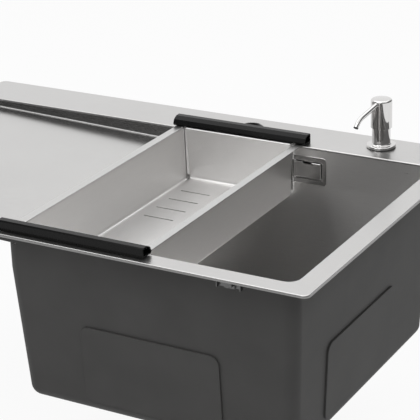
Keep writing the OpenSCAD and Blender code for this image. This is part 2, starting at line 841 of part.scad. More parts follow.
// One group of parallel drain slots
module slot_group() {
    for (i = [0:slot_count - 1]) translate([-slot_l / 2, i * slot_pitch, -tray_h - over])
        linear_extrude(3 * sheet_t + over) translate([0, -slot_w / 2])
        rounded(slot_l, slot_w, slot_w / 2 - 0.01);
}

module tray_body() {
    flange_half_y = rail_y - 2;
    group_x = 42.4;
    group_y = 50.4;
    color(steel) at_tray() difference() {
        union() {
            tray_form(sheet_t, -tray_h, flange_top);
            translate([0, 0, flange_gap]) linear_extrude(sheet_t)
                rounded_centred(tray_w, 2 * flange_half_y, 2);
        }
        tray_form(0, sheet_t - tray_h, flange_top + over);
        for (sx = [-1, 1], sy = [-1, 1]) scale([sx, sy, 1]) {
            // open seam down the corner, with reliefs at both ends
            corner_x = tray_half_x - tray_corner_r;
            corner_y = tray_half_y - tray_corner_r;
            translate([corner_x, corner_y, sheet_t - tray_h]) rotate([0, 0, 45])
                translate([0, -seam_w / 2, 0]) cube([20, seam_w, tray_h + 2 * sheet_t]);
            translate([corner_x - tray_lean, corner_y, -tray_h - over]) rotate([0, 0, 45])
                translate([-1, -2.5, 0]) cube([12, 5, 7]);
            translate([tray_half_x - 2, tray_half_y - 1, 0]) rotate([0, 0, 45])
                translate([-relief / 2, -relief / 2, -over]) cube([relief, relief, 6]);
            translate([group_x, group_y, 0]) slot_group();
        }
    }
}

// Section of a handle rail: X from its outer face inwards, Y up
module rail_section(wall) {
    foot = flange_top - flange_gap;
    h = handle_h;
    d = handle_d;
    w = wall;
    polygon([[w, wall > 0 ? foot + w : 0], [w, foot + h - 1.6 - w / 2], [w / 2 + 1.5, foot + h - w],
        [d * 0.51, foot + h - w], [d * 0.87 - w * 0.6, foot + h * 0.71 - w * 0.6],
        [d - w, foot + h * 0.28], [d - w, foot + h * 0.17 + w * 0.3], [d * 0.88 - w * 0.4, foot + w],
        [wall > 0 ? w : 1.8, foot + w], [wall > 0 ? w : 1.8, wall > 0 ? foot + w : 0]]);
}

module handle_rail() {
    wall = 1.8;
    half_l = tray_w / 2 + handle_over;
    translate([-half_l, -rail_y, flange_gap]) rotate([90, 0, 90])
        linear_extrude(2 * half_l) difference() {
            rail_section(0);
            rail_section(wall);
        }
}

module tray_handle_front() {
    color(rubber) at_tray() handle_rail();
}

module tray_handle_rear() {
    color(rubber) at_tray() rotate([0, 0, 180]) handle_rail();
}

// ---- soap dispenser ----

washer_t = 2;
base_z = 1;
neck_r = cap_r - 2;
neck_top = cap_top - 25.5;
crown_z = neck_top + pump_stroke + 1;
stem_r = 4;
stem_top = crown_z + 6;
spigot_z = -12;
spigot_r = shank_r - 2.5;

module dispenser_seal() {
    color(rubber) at_dispenser() ring(base_r - 0.6, shank_r + 0.1, base_z);
}

module dispenser_shank() {
    color(plastic) at_dispenser() difference() {
        union() {
            translate([0, 0, -shank_l]) cylinder(r = shank_r, h = shank_l + base_z);
            translate([0, 0, base_z]) cylinder(r = base_r - 1.2, h = 1.5);
        }
        translate([0, 0, -shank_l - over]) cylinder(r = spigot_r + 0.1, h = shank_l + 5);
    }
}

module dispenser_collar() {
    base_top = base_z + 3.6;
    fillet_r = 3;
    color(chrome) at_dispenser() difference() {
        rotate_extrude() polygon(concat(
            [[0, spigot_z], [spigot_r, spigot_z], [spigot_r, base_z + 1.6],
                [base_r - 1.1, base_z + 1.6], [base_r - 1.1, base_z], [base_r, base_z]],
            arc(base_r - 1.6, base_top - 1.6, 1.6, 0, 90, 5),
            arc(neck_r + fillet_r, base_top + fillet_r, fillet_r, 270, 180, 5),
            [[neck_r, neck_top - 1], [neck_r - 1, neck_top], [0, neck_top]]));
        translate([0, 0, spigot_z - over]) cylinder(r = stem_r + run_gap, h = neck_top - spigot_z + 2 * over);
    }
}

module shank_washer() {
    color(rubber) at_dispenser() translate([0, 0, -sheet_t - washer_t])
        ring(base_r + 0.5, shank_r + 0.1, washer_t);
}

module shank_nut() {
    nut_h = 10;
    color(plastic) at_dispenser() translate([0, 0, -sheet_t - washer_t - nut_h]) difference() {
        union() {
            cylinder(r = base_r + 1, h = nut_h - 3, $fn = 6);
            translate([0, 0, nut_h - 3]) cylinder(r = base_r, h = 3);
        }
        translate([0, 0, -over]) cylinder(r = shank_r + 0.05, h = nut_h + 2 * over);
    }
}

cap_bottom = cap_top - cap_l;
spout_z = cap_top - 4.8;
spout_tilt = 11;
spout_turn = -97.3;
spout_bend_r = 23;
spout_start = 6;
bend_end_tilt = 49;
spout_run = (spout_reach - spout_start
    - spout_bend_r * (sin(bend_end_tilt) - sin(spout_tilt))) / cos(spout_tilt);

// Frame of the spout: X out along its straight run
module at_spout() {
    at_dispenser() rotate([0, 0, spout_turn]) translate([spout_start, 0, spout_z])
        rotate([0, spout_tilt, 0]) children();
}

module pump_cap() {
    skirt_r = neck_r + 0.5;
    edge_r = 3;
    color(chrome) difference() {
        at_dispenser() rotate_extrude() polygon(concat(
            [[0, crown_z], [skirt_r, crown_z], [skirt_r, cap_bottom], [cap_r - 0.4, cap_bottom],
                [cap_r, cap_bottom + 0.4]],
            arc(cap_r - edge_r, cap_top - 0.7 - edge_r, edge_r, 0, 76, 6),
            [[cap_r * 0.45, cap_top - 0.15], [0, cap_top]]));
        at_dispenser() translate([0, 0, crown_z - over])
            cylinder(r = stem_r + run_gap, h = 6 + run_gap + over);
        at_dispenser() translate([0, 0, crown_z]) cylinder(r = 1.6, h = spout_z - crown_z);
        at_spout() rotate([0, 90, 0]) cylinder(r = spout_r + 0.03, h = cap_r);
        at_spout() translate([-spout_start, 0, 0]) rotate([0, 90, 0]) cylinder(r = 1.6, h = cap_r);
    }
}

spout_tip_l = 3;

// Frame at the end of the spout's bend: X along the tip
module at_tip() {
    turn = bend_end_tilt - spout_tilt;
    at_spout() translate([spout_run, 0, -spout_bend_r]) rotate([0, turn, 0])
        translate([0, 0, spout_bend_r]) children();
}

// Stations of the spout: a straight run, a bend and a short tip, lengthened at both ends
function spout_path(extra) =
    let (turn = bend_end_tilt - spout_tilt, steps = 10, y = [0, 1, 0])
    concat([[[-extra, 0, 0], [0, 0, 1], y]],
        [for (i = [0:steps]) let (t = turn * i / steps, n = [sin(t), 0, cos(t)])
            [[spout_run, 0, -spout_bend_r] + spout_bend_r * n, n, y]],
        [let (n = [sin(turn), 0, cos(turn)], a = [cos(turn), 0, -sin(turn)])
            [[spout_run, 0, -spout_bend_r] + spout_bend_r * n + (spout_tip_l + extra) * a, n, y]]);

// Spout that runs out of the cap and turns down to its tip
module pump_spout() {
    color(chrome) at_spout() difference() {
        sweep_bar(spout_path(0), spout_r, 20);
        sweep_bar(spout_path(over), spout_r - 1, 20);
    }
}

// Nozzle pushed into the end of the spout
module spout_nozzle() {
    spigot = spout_r - 1.06;
    way = spout_r - 1.8;
    color(rubber) at_tip() rotate([0, 90, 0]) rotate_extrude() polygon([
        [way, 0.2], [spigot, 0.2], [spigot, spout_tip_l], [spout_r, spout_tip_l],
        [spout_r, spout_tip_l + 0.9], [spout_r - 0.3, spout_tip_l + 1.2], [way, spout_tip_l + 1.2]]);
}

barrel_in_r = 6;
piston_z = -30;
piston_h = 6;
ledge_z = piston_z - pump_stroke - 24;
seat_z = ledge_z - 5;

module pump_stem() {
    color(steel) at_dispenser() translate([0, 0, piston_z])
        ring(stem_r, 1.5, stem_top - piston_z);
}

module pump_piston() {
    color(rubber) at_dispenser() translate([0, 0, piston_z])
        ring(barrel_in_r - run_gap, stem_r, piston_h);
}

module pump_barrel() {
    color(plastic) at_dispenser() rotate_extrude() polygon([
        [1.5, seat_z - 9], [3, seat_z - 9], [3, seat_z - 1.5], [barrel_in_r + 1.5, seat_z + 1.5],
        [barrel_in_r + 1.5, spigot_z - 2], [spigot_r, spigot_z - 2], [spigot_r, spigot_z],
        [barrel_in_r, spigot_z], [barrel_in_r, ledge_z], [3, ledge_z], [3, seat_z + 0.6],
        [1.5, seat_z]]);
}

// Stations of a helix: radius, height and turns of the middle of the wire
function helix(r, h, turns, per_turn) =
    [for (i = [0:turns * per_turn]) let (a = 360 * i / per_turn, e = [cos(a), sin(a), 0])
        [r * e + [0, 0, h * i / (turns * per_turn)], e, [0, 0, 1]]];

module pump_spring() {
    wire_r = 0.5;
    spring_h = piston_z - ledge_z - 0.1 - 2 * wire_r;
    color(steel) at_dispenser() translate([0, 0, ledge_z + 0.05 + wire_r])
        sweep_bar(helix(4.8, spring_h, 8, 16), wire_r, 6);
}

ball_r = 2.3;

module inlet_ball() {
    color(steel) at_dispenser() translate([0, 0, seat_z + 2.05]) sphere(r = ball_r, $fn = 32);
}

module dip_tube() {
    color(plastic) at_dispenser() translate([0, 0, -bottle_bottom + 5])
        ring(4.2, 3.05, bottle_bottom - 5 + seat_z - 2.5);
}

module soap_bottle() {
    wall = 1.5;
    neck_in = shank_r + 0.1;
    neck_out = neck_in + 2;
    neck_top_z = -shank_l + 20;
    shoulder_z = -shank_l - 3;
    shoulder_r = 12;
    color(plastic) at_dispenser() rotate_extrude() polygon(concat(
        [[0, -bottle_bottom]],
        arc(bottle_r - 5, 5 - bottle_bottom, 5, -90, 0, 5),
        arc(bottle_r - shoulder_r, shoulder_z - shoulder_r, shoulder_r, 0, 90, 6),
        [[neck_out, shoulder_z], [neck_out, neck_top_z], [neck_in, neck_top_z],
            [neck_in, shoulder_z - wall]],
        arc(bottle_r - shoulder_r, shoulder_z - shoulder_r, shoulder_r - wall, 90, 0, 6),
        arc(bottle_r - 5, 5 - bottle_bottom, 5 - wall, 0, -90, 5),
        [[0, wall - bottle_bottom]]));
}

deck();
drainboard();
bowl();
pad_front();
pad_rear();
pad_left();
pad_right();
pad_base();
drainboard_stiffeners();
tap_brace();
rim_seal();
clip_brackets();
clip_hooks();
clip_screws();
overflow_frame();
overflow_cover();
overflow_gasket();
overflow_housing();
overflow_screws();
overflow_pipe();
pipe_nuts();
strainer_cup();
strainer_seal();
waste_gasket();
waste_body();
waste_screw();
strainer_basket();
basket_knob();
basket_stopper();
tray_body();
tray_handle_front();
tray_handle_rear();
dispenser_seal();
dispenser_shank();
dispenser_collar();
shank_washer();
shank_nut();
pump_cap();
pump_spout();
spout_nozzle();
pump_stem();
pump_piston();
pump_barrel();
pump_spring();
inlet_ball();
dip_tube();
soap_bottle();
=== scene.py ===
import math

import bmesh
import bpy
from mathutils import Matrix, Vector


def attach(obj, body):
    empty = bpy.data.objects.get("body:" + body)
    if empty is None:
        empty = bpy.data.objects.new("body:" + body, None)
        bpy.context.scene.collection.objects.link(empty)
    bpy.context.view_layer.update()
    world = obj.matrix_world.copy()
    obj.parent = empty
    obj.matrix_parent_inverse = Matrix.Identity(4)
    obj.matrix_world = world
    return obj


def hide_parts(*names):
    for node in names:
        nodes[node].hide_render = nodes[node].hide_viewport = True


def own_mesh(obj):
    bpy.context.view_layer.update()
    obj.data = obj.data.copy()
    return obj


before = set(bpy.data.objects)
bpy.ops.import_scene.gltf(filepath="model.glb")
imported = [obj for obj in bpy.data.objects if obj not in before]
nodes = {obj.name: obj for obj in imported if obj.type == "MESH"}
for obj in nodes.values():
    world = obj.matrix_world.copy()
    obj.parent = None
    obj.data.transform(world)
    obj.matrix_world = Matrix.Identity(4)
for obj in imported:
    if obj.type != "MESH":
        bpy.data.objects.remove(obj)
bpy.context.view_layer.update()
print("frame loaded:", len(nodes), "nodes")

# Lengths are in millimetres and places are measured from the deck's front left corner.
# The part's own origin is the centre of the tap hole.
tapPlace = (456.0, 475.0)
sheet = 1.2
rollDepth = 3  # the deck's edge turns down this far at the opening, where board and bowl begin
upright = (math.radians(90), 0, 0)  # stands a flat plate up, facing the front

# slack in metres: places that count as one, level points and merged points
nearby = 0.0001
levelSlack = 0.00005
mergeSlack = 0.00001
# parts of a face's normal: along an axis, across it at a fold, and level on a wall
along = 0.9
folded = 0.5
onWall = 0.3


def mm(length):
    return length / 1000


def corner(x, y, z=0.0):
    # millimetres from the deck's front left corner to the part's own metres
    return Vector((mm(x - tapPlace[0]), mm(y - tapPlace[1]), mm(z)))


def clearSelection():
    if bpy.context.mode != "OBJECT":
        bpy.ops.object.mode_set(mode="OBJECT")
    bpy.ops.object.select_all(action="DESELECT")


def makeActive(piece):
    clearSelection()
    bpy.context.view_layer.objects.active = piece
    piece.select_set(True)


def openEdit(piece, kind="FACE"):
    makeActive(piece)
    bpy.ops.object.mode_set(mode="EDIT")
    bpy.ops.mesh.select_mode(type=kind)
    bpy.ops.mesh.select_all(action="SELECT")


def closeEdit():
    bpy.ops.object.mode_set(mode="OBJECT")


def pick(piece, kind, test):
    # selects the faces, edges or corners that pass a test
    bpy.ops.mesh.select_mode(type=kind)
    bpy.ops.mesh.select_all(action="DESELECT")
    mesh = bmesh.from_edit_mesh(piece.data)
    mesh.normal_update()
    group = {"VERT": mesh.verts, "EDGE": mesh.edges, "FACE": mesh.faces}[kind]
    for part in group:
        if test(part):
            part.select_set(True)
    bmesh.update_edit_mesh(piece.data)


def middle(edge):
    return (edge.verts[0].co + edge.verts[1].co) / 2


def atLevel(edge, z):
    return all(abs(v.co.z - z) < levelSlack for v in edge.verts)


def faceAt(face, z):
    return abs(face.calc_center_median().z - z) < nearby


def atFold(edge):
    # an edge between two faces of which one stands up
    return len(edge.link_faces) == 2 and any(abs(face.normal.z) < folded for face in edge.link_faces)


def extrudeBy(x=0.0, y=0.0, z=0.0):
    bpy.ops.mesh.extrude_region_move(TRANSFORM_OT_translate={"value": (x, y, z)})


def thicken(x=0.0, y=0.0, z=0.0):
    # draws a whole flat plate out into a block
    bpy.ops.mesh.select_mode(type="FACE")
    bpy.ops.mesh.select_all(action="SELECT")
    extrudeBy(x, y, z)


def resizeBy(x, y, z, centre):
    bpy.ops.transform.resize(value=(x, y, z), center_override=tuple(centre))


def raiseBy(height):
    bpy.ops.transform.translate(value=(0, 0, mm(height)))


def bend(width, steps):
    bpy.ops.mesh.bevel(offset=mm(width), segments=steps, affect="EDGES")


def divideAt(place, direction, **options):
    bpy.ops.mesh.select_all(action="SELECT")
    bpy.ops.mesh.bisect(plane_co=place, plane_no=direction, **options)


def mergePoints():
    bpy.ops.mesh.select_all(action="SELECT")
    bpy.ops.mesh.remove_doubles(threshold=mergeSlack)


def applyPlace():
    bpy.ops.object.transform_apply(location=True, rotation=True, scale=True)


def addPlate(name, centre, width, depth, radius, steps, turn=(0.0, 0.0, 0.0)):
    # flat sheet with round corners, left open in edit mode
    clearSelection()
    bpy.ops.mesh.primitive_plane_add(size=1, location=centre, rotation=turn)
    plate = bpy.context.object
    plate.name = plate.data.name = name
    plate.scale = (mm(width), mm(depth), 1)
    applyPlace()
    openEdit(plate, "VERT")
    bpy.ops.mesh.bevel(offset=mm(radius), segments=steps, affect="VERTICES")
    return plate


def addOutline(centre, width, depth, radius, steps):
    # a second rounded outline in the mesh that is being edited
    bpy.ops.mesh.select_mode(type="VERT")
    bpy.ops.mesh.select_all(action="DESELECT")
    bpy.ops.mesh.primitive_plane_add(size=1, location=centre)
    resizeBy(mm(width), mm(depth), 1, centre)
    bpy.ops.mesh.bevel(offset=mm(radius), segments=steps, affect="VERTICES")
    bpy.ops.mesh.delete(type="ONLY_FACE")


def addRound(name, centre, radius, height, sides=64):
    clearSelection()
    bpy.ops.mesh.primitive_cylinder_add(vertices=sides, radius=mm(radius), depth=mm(height), location=centre)
    piece = bpy.context.object
    piece.name = piece.data.name = name
    applyPlace()
    return piece


def addBlock(name, centre, size, turn=0):
    # the turn is in degrees, about the upright axis
    clearSelection()
    bpy.ops.mesh.primitive_cube_add(size=1, location=centre, rotation=(0, 0, math.radians(turn)))
    block = bpy.context.object
    block.name = block.data.name = name
    block.scale = [mm(length) for length in size]
    applyPlace()
    return block


def addRing(name, centre, radius, sides, turn):
    clearSelection()
    bpy.ops.mesh.primitive_circle_add(vertices=sides, radius=mm(radius), location=centre, rotation=turn)
    ring = bpy.context.object
    ring.name = ring.data.name = name
    applyPlace()
    return ring


def turnFaces(piece, place, direction):
    # makes the faces agree, with the one nearest to a place looking in a direction
    bpy.ops.mesh.select_all(action="SELECT")
    bpy.ops.mesh.normals_make_consistent(inside=False)
    mesh = bmesh.from_edit_mesh(piece.data)
    mesh.normal_update()
    nearest = min(mesh.faces, key=lambda face: (face.calc_center_median() - place).length)
    if nearest.normal.dot(Vector(direction)) < 0:
        bpy.ops.mesh.flip_normals()


def useModifier(piece, kind, **settings):
    makeActive(piece)
    modifier = piece.modifiers.new(kind.title(), kind)
    for key, value in settings.items():
        setattr(modifier, key, value)
    bpy.ops.object.modifier_apply(modifier=modifier.name)


def makeSheet(piece, **settings):
    # gives a surface the steel's thickness, away from its face
    useModifier(piece, "SOLIDIFY", thickness=mm(sheet), offset=-1, use_even_offset=True, **settings)


def roundEdges(piece, width, steps, angle, **settings):
    useModifier(piece, "BEVEL", width=mm(width), segments=steps, limit_method="ANGLE",
                angle_limit=math.radians(angle), **settings)


def cutWith(piece, cutters):
    # cuts the joined cutters out of a piece and removes them
    makeActive(cutters[0])
    for cutter in cutters:
        cutter.select_set(True)
    if len(cutters) > 1:
        bpy.ops.object.join()
    tool = bpy.context.object
    useModifier(piece, "BOOLEAN", object=tool, operation="DIFFERENCE", solver="EXACT", use_self=True)
    bpy.data.objects.remove(tool)


def giveMaterials(piece, *materials):
    piece.data.materials.clear()
    for material in materials:
        piece.data.materials.append(material)


def finishPiece(piece, body, slotName, *nodeNames, angle=32):
    makeActive(piece)
    bpy.ops.object.shade_smooth_by_angle(angle=math.radians(angle))
    useModifier(piece, "WEIGHTED_NORMAL", mode="FACE_AREA", weight=60, keep_sharp=True)
    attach(piece, body)
    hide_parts(*nodeNames)


# the noise's middle, which is spread over a pattern's whole range, and its roughness
patternShape = {"low": 0.3, "high": 0.7, "roughness": 0.55}
steelShape = {"streakDetail": 3.0, "cloudScale": 9.0, "cloudDetail": 2.0, "cloudShare": 0.3,
              "streakShare": 0.7, "bumpDepth": 0.00005, "grainTurn": 0.25}
coatShape = {"grainScale": 900.0, "grainDetail": 3.0, "cloudScale": 14.0, "cloudDetail": 2.0,
             "roughness": 0.62, "shine": 0.35, "bump": 0.35, "bumpDepth": 0.0002}
plasticShape = {"grainDetail": 3.0, "bumpDepth": 0.0001}


def grey(value, warm=0.0):
    return (value, value * (1 - warm * 0.5), value * (1 - warm))


def startMaterial(name):
    material = bpy.data.materials.new(name)
    material.use_nodes = True
    tree = material.node_tree
    shader = tree.nodes["Principled BSDF"]
    place = tree.nodes.new("ShaderNodeTexCoord")
    return material, tree, shader, place


def addMath(tree, operation, *values):
    # each value is an output to link or a plain number
    node = tree.nodes.new("ShaderNodeMath")
    node.operation = operation
    for socket, value in zip(node.inputs, values):
        if isinstance(value, float):
            socket.default_value = value
        else:
            tree.links.new(value, socket)
    return node.outputs[0]


def addNoise(tree, place, scale, detail, stretch=(1, 1, 1)):
    mapping = tree.nodes.new("ShaderNodeMapping")
    mapping.inputs["Scale"].default_value = stretch
    noise = tree.nodes.new("ShaderNodeTexNoise")
    noise.inputs["Scale"].default_value = scale
    noise.inputs["Detail"].default_value = detail
    noise.inputs["Roughness"].default_value = patternShape["roughness"]
    tree.links.new(place.outputs["Object"], mapping.inputs["Vector"])
    tree.links.new(mapping.outputs["Vector"], noise.inputs["Vector"])
    return noise.outputs["Fac"]


def addRamp(tree, value, dark, light):
    ramp = tree.nodes.new("ShaderNodeValToRGB")
    ramp.color_ramp.elements[0].position = patternShape["low"]
    ramp.color_ramp.elements[0].color = (*dark, 1)
    ramp.color_ramp.elements[1].position = patternShape["high"]
    ramp.color_ramp.elements[1].color = (*light, 1)
    tree.links.new(value, ramp.inputs["Fac"])
    return ramp.outputs["Color"]


def addRange(tree, value, low, high):
    node = tree.nodes.new("ShaderNodeMapRange")
    node.inputs["From Min"].default_value = patternShape["low"]
    node.inputs["From Max"].default_value = patternShape["high"]
    node.inputs["To Min"].default_value = low
    node.inputs["To Max"].default_value = high
    tree.links.new(value, node.inputs["Value"])
    return node.outputs["Result"]


def addBump(tree, shader, value, strength, distance):
    bump = tree.nodes.new("ShaderNodeBump")
    bump.inputs["Strength"].default_value = strength
    bump.inputs["Distance"].default_value = distance
    tree.links.new(value, bump.inputs["Height"])
    tree.links.new(bump.outputs["Normal"], shader.inputs["Normal"])


def makeSteel(name, dark, light, rough, stretch, scale=900.0, bump=0.05, grain=0.0, warm=0.02):
    # rolled or brushed sheet: fine streaks in colour, gloss and height, with faint soft clouds
    material, tree, shader, place = startMaterial(name)
    shader.inputs["Metallic"].default_value = 1
    streaks = addNoise(tree, place, scale, steelShape["streakDetail"], stretch)
    clouds = addNoise(tree, place, steelShape["cloudScale"], steelShape["cloudDetail"])
    part = addMath(tree, "MULTIPLY", streaks, steelShape["streakShare"])
    mix = addMath(tree, "MULTIPLY_ADD", clouds, steelShape["cloudShare"], part)
    tree.links.new(addRamp(tree, mix, grey(dark, warm), grey(light, warm)), shader.inputs["Base Color"])
    tree.links.new(addRange(tree, mix, *rough), shader.inputs["Roughness"])
    addBump(tree, shader, streaks, bump, steelShape["bumpDepth"])
    if grain:
        # level grain on the walls draws reflections out up and down
        tangent = tree.nodes.new("ShaderNodeTangent")
        tangent.direction_type = "RADIAL"
        tangent.axis = "Z"
        shader.inputs["Anisotropic"].default_value = grain
        shader.inputs["Anisotropic Rotation"].default_value = steelShape["grainTurn"]
        tree.links.new(tangent.outputs["Tangent"], shader.inputs["Tangent"])
    return material


def makeCoat(name, dark, light):
    # sprayed sound-deadening coat: a fine even grain
    material, tree, shader, place = startMaterial(name)
    grain = addNoise(tree, place, coatShape["grainScale"], coatShape["grainDetail"])
    clouds = addNoise(tree, place, coatShape["cloudScale"], coatShape["cloudDetail"])
    shader.inputs["Roughness"].default_value = coatShape["roughness"]
    shader.inputs["Specular IOR Level"].default_value = coatShape["shine"]
    tree.links.new(addRamp(tree, clouds, dark, light), shader.inputs["Base Color"])
    addBump(tree, shader, grain, coatShape["bump"], coatShape["bumpDepth"])
    return material


def makePlastic(name, dark, light, rough, scale=500.0, shine=0.5, bump=0.1):
    material, tree, shader, place = startMaterial(name)
    grain = addNoise(tree, place, scale, plasticShape["grainDetail"])
    shader.inputs["Specular IOR Level"].default_value = shine
    tree.links.new(addRamp(tree, grain, dark, light), shader.inputs["Base Color"])
    tree.links.new(addRange(tree, grain, *rough), shader.inputs["Roughness"])
    addBump(tree, shader, grain, bump, plasticShape["bumpDepth"])
    return material


# steels: dark and light grey, least and most roughness, stretch of the streaks, their scale, bump and grain
steelSatin = makeSteel("steelSatin", 0.55, 0.61, (0.27, 0.33), (0.03, 1, 1), 1600.0, 0.03)
steelBoard = makeSteel("steelBoard", 0.55, 0.61, (0.18, 0.23), (0.03, 1, 1), 1600.0, 0.03)
# level-grained steel made lighter than the deck's: painted light in the shaded bowl
steelBowlPaintedLight = makeSteel("steelBowlPaintedLight", 0.80, 0.87, (0.27, 0.31), (0.03, 0.03, 1), 1600.0, 0.01, 0.9)
# steel made lighter than the deck's: painted light inside the tray
steelTrayPaintedLight = makeSteel("steelTrayPaintedLight", 0.80, 0.85, (0.36, 0.42), (1, 0.03, 1), 2200.0, 0.01)
steelBright = makeSteel("steelBright", 0.68, 0.74, (0.12, 0.2), (1, 1, 0.2))
steelBrushed = makeSteel("steelBrushed", 0.64, 0.72, (0.03, 0.06), (1, 1, 0.05), 900.0, 0.01)
# a darker copy of the satin steel: painted shade on the deck's turned lip and the board's walls
steelPaintedShade = makeSteel("steelPaintedShade", 0.22, 0.27, (0.24, 0.3), (0.03, 0.03, 1), 1600.0, 0.03)
steelPlate = makeSteel("steelPlate", 0.46, 0.52, (0.2, 0.26), (0.03, 0.03, 1), 1600.0, 0.02)
# a bright, polished copy of the steel: painted highlights on the overflow's rounded edges
steelPaintedHighlight = makeSteel("steelPaintedHighlight", 0.86, 0.92, (0.06, 0.1), (1, 1, 1), 900.0, 0.01)
# zinc steel made far darker than bare zinc: painted shade on the clips, braces and screws
steelZincPaintedShade = makeSteel("steelZincPaintedShade", 0.13, 0.18, (0.42, 0.52), (1, 1, 1), 160.0, 0.1, warm=0.0)
coatBowl = makeCoat("coatBowl", grey(0.052, 0.04), grey(0.063, 0.04))
coatPad = makeCoat("coatPad", grey(0.053, 0.04), grey(0.064, 0.04))
blackRail = makePlastic("blackRail", grey(0.004), grey(0.008), (0.16, 0.22), 700.0, shine=0.15, bump=0.05)
blackPlastic = makePlastic("blackPlastic", grey(0.022), grey(0.032), (0.35, 0.45))
whitePlastic = makePlastic("whitePlastic", grey(0.72, 0.03), grey(0.78, 0.03), (0.35, 0.45))
clearPlastic = makePlastic("clearPlastic", (0.66, 0.68, 0.68), (0.74, 0.76, 0.76), (0.25, 0.35))
blackRubber = makePlastic("blackRubber", grey(0.02), grey(0.03), (0.6, 0.75), 300.0)
print("materials made")

deckShape = {"width": 780, "depth": 510, "cornerRadius": 8, "steps": 6, "lipHeight": 3.6, "lipBend": 1.7,
             "open": (28, 751.5, 26, 432), "openRadius": 16, "openMargin": 0.5, "rollBend": 1.6, "tuck": 0.05,
             "tapHole": 17.5, "pumpHole": 13.5, "pumpPlace": (657, 475), "cut": 20, "ledge": (300, 470)}


def buildDeck(shape):
    x0, x1, y0, y1 = shape["open"]
    openCentre = corner((x0 + x1) / 2, (y0 + y1) / 2)
    deck = addPlate("deckTop", corner(shape["width"] / 2, shape["depth"] / 2), shape["width"], shape["depth"],
                    shape["cornerRadius"], shape["steps"])
    bpy.ops.mesh.delete(type="ONLY_FACE")
    addOutline(openCentre, x1 - x0, y1 - y0, shape["openRadius"], shape["steps"])
    bpy.ops.mesh.select_mode(type="EDGE")
    bpy.ops.mesh.select_all(action="SELECT")
    bpy.ops.mesh.bridge_edge_loops()
    halfX = mm(x1 - x0) / 2 + mm(shape["openMargin"])
    halfY = mm(y1 - y0) / 2 + mm(shape["openMargin"])

    def inOpening(place):
        at = place - openCentre
        return abs(at.x) < halfX and abs(at.y) < halfY

    def rim(edge, inside):
        return edge.is_boundary and inOpening(middle(edge)) == inside

    def topFold(edge, inside):
        return atLevel(edge, 0) and atFold(edge) and inOpening(middle(edge)) == inside

    pick(deck, "EDGE", lambda edge: rim(edge, False))
    extrudeBy(z=-mm(shape["lipHeight"]))
    pick(deck, "EDGE", lambda edge: rim(edge, True) and atLevel(edge, 0))
    extrudeBy(z=-mm(rollDepth + shape["tuck"]))
    pick(deck, "EDGE", lambda edge: topFold(edge, True))
    bend(shape["rollBend"], 5)
    pick(deck, "EDGE", lambda edge: topFold(edge, False))
    bend(shape["lipBend"], 4)
    turnFaces(deck, corner(*shape["ledge"]), (0, 0, 1))
    closeEdit()
    giveMaterials(deck, steelSatin, steelPaintedShade)
    # the lip's upright outer faces take the darker steel, which paints shade on the turned edge
    for face in deck.data.polygons:
        if abs(face.normal.z) < onWall and not inOpening(face.center):
            face.material_index = 1
    makeSheet(deck)
    holes = [addRound("tapCutter", corner(*tapPlace), shape["tapHole"], shape["cut"]),
             addRound("pumpCutter", corner(*shape["pumpPlace"]), shape["pumpHole"], shape["cut"])]
    cutWith(deck, holes)
    finishPiece(deck, "sink", "satin_steel", "deck")


buildDeck(deckShape)
print("deck made")

# the bowl's outline, to which the board is cut, and the place of the overflow on its rear wall
bowlPlan = {"centre": (551.5, 229), "width": 400, "depth": 406, "radius": 16, "steps": 6}
overflowPlace = (566, 432, -33.5)

boardShape = {"x0": 28, "x1": 367.5, "y0": 26, "y1": 432, "radius": 16, "steps": 6, "shallow": 11.5,
              "deep": 21, "bowlX": 351.5, "footBend": 2.4, "spare": 40, "block": 60, "floor": (180, -16),
              "cutTop": 5, "cut": 100}


def boardNormal(shape):
    # the board falls towards the bowl
    slope = (shape["deep"] - shape["shallow"]) / (shape["bowlX"] - shape["x0"])
    return Vector((slope, 0, 1)).normalized()


def buildBoard(shape, plan):
    normal = boardNormal(shape)
    middleY = (shape["y0"] + shape["y1"]) / 2
    onBoard = corner(shape["x0"], middleY, -shape["shallow"])
    wide = shape["x1"] + shape["spare"] - shape["x0"]
    board = addPlate("drainPan", corner(shape["x0"] + wide / 2, middleY, -rollDepth), wide,
                     shape["y1"] - shape["y0"], shape["radius"], shape["steps"])
    thicken(z=-mm(shape["block"]))
    divideAt(onBoard, normal, use_fill=True, clear_inner=True)
    divideAt(corner(shape["x1"], 0), (1, 0, 0), clear_outer=True)
    pick(board, "FACE", lambda face: faceAt(face, -mm(rollDepth)))
    bpy.ops.mesh.delete(type="FACE")

    def atFoot(edge):
        low = all(abs((v.co - onBoard).dot(normal)) < levelSlack for v in edge.verts)
        return low and not edge.is_boundary

    pick(board, "EDGE", atFoot)
    bend(shape["footBend"], 5)
    floorX, floorZ = shape["floor"]
    turnFaces(board, corner(floorX, middleY, floorZ), (0, 0, 1))
    closeEdit()
    # steel above and on the floor, then a darker copy of it on the walls that paints their shade, each
    # followed by the coat under it
    giveMaterials(board, steelBoard, coatBowl, steelPaintedShade, coatBowl)
    for face in board.data.polygons:
        if abs(face.normal.z) < onWall:
            face.material_index = 2
    makeSheet(board, material_offset=1)
    # the board ends where the bowl begins, round the bowl's corners
    above = corner(*plan["centre"], shape["cutTop"])
    cutter = addPlate("bowlCutter", above, plan["width"], plan["depth"], plan["radius"], plan["steps"])
    thicken(z=-mm(shape["cut"]))
    turnFaces(cutter, above, (0, 0, 1))
    closeEdit()
    cutWith(board, [cutter])
    finishPiece(board, "sink", "satin_steel", "drainboard")


buildBoard(boardShape, bowlPlan)
print("drainboard made")

bowlShape = {"straight": 56.5, "floor": 237.8, "lean": 9.74, "footBend": 14, "recess": 58, "recessSides": 28,
             "fall": 3, "drain": 45, "flat": 0.99, "floorArea": 0.05, "onWallZ": -100,
             "hole": (48, 30), "holeRadius": 3, "holeStart": 7, "holeCut": 15}


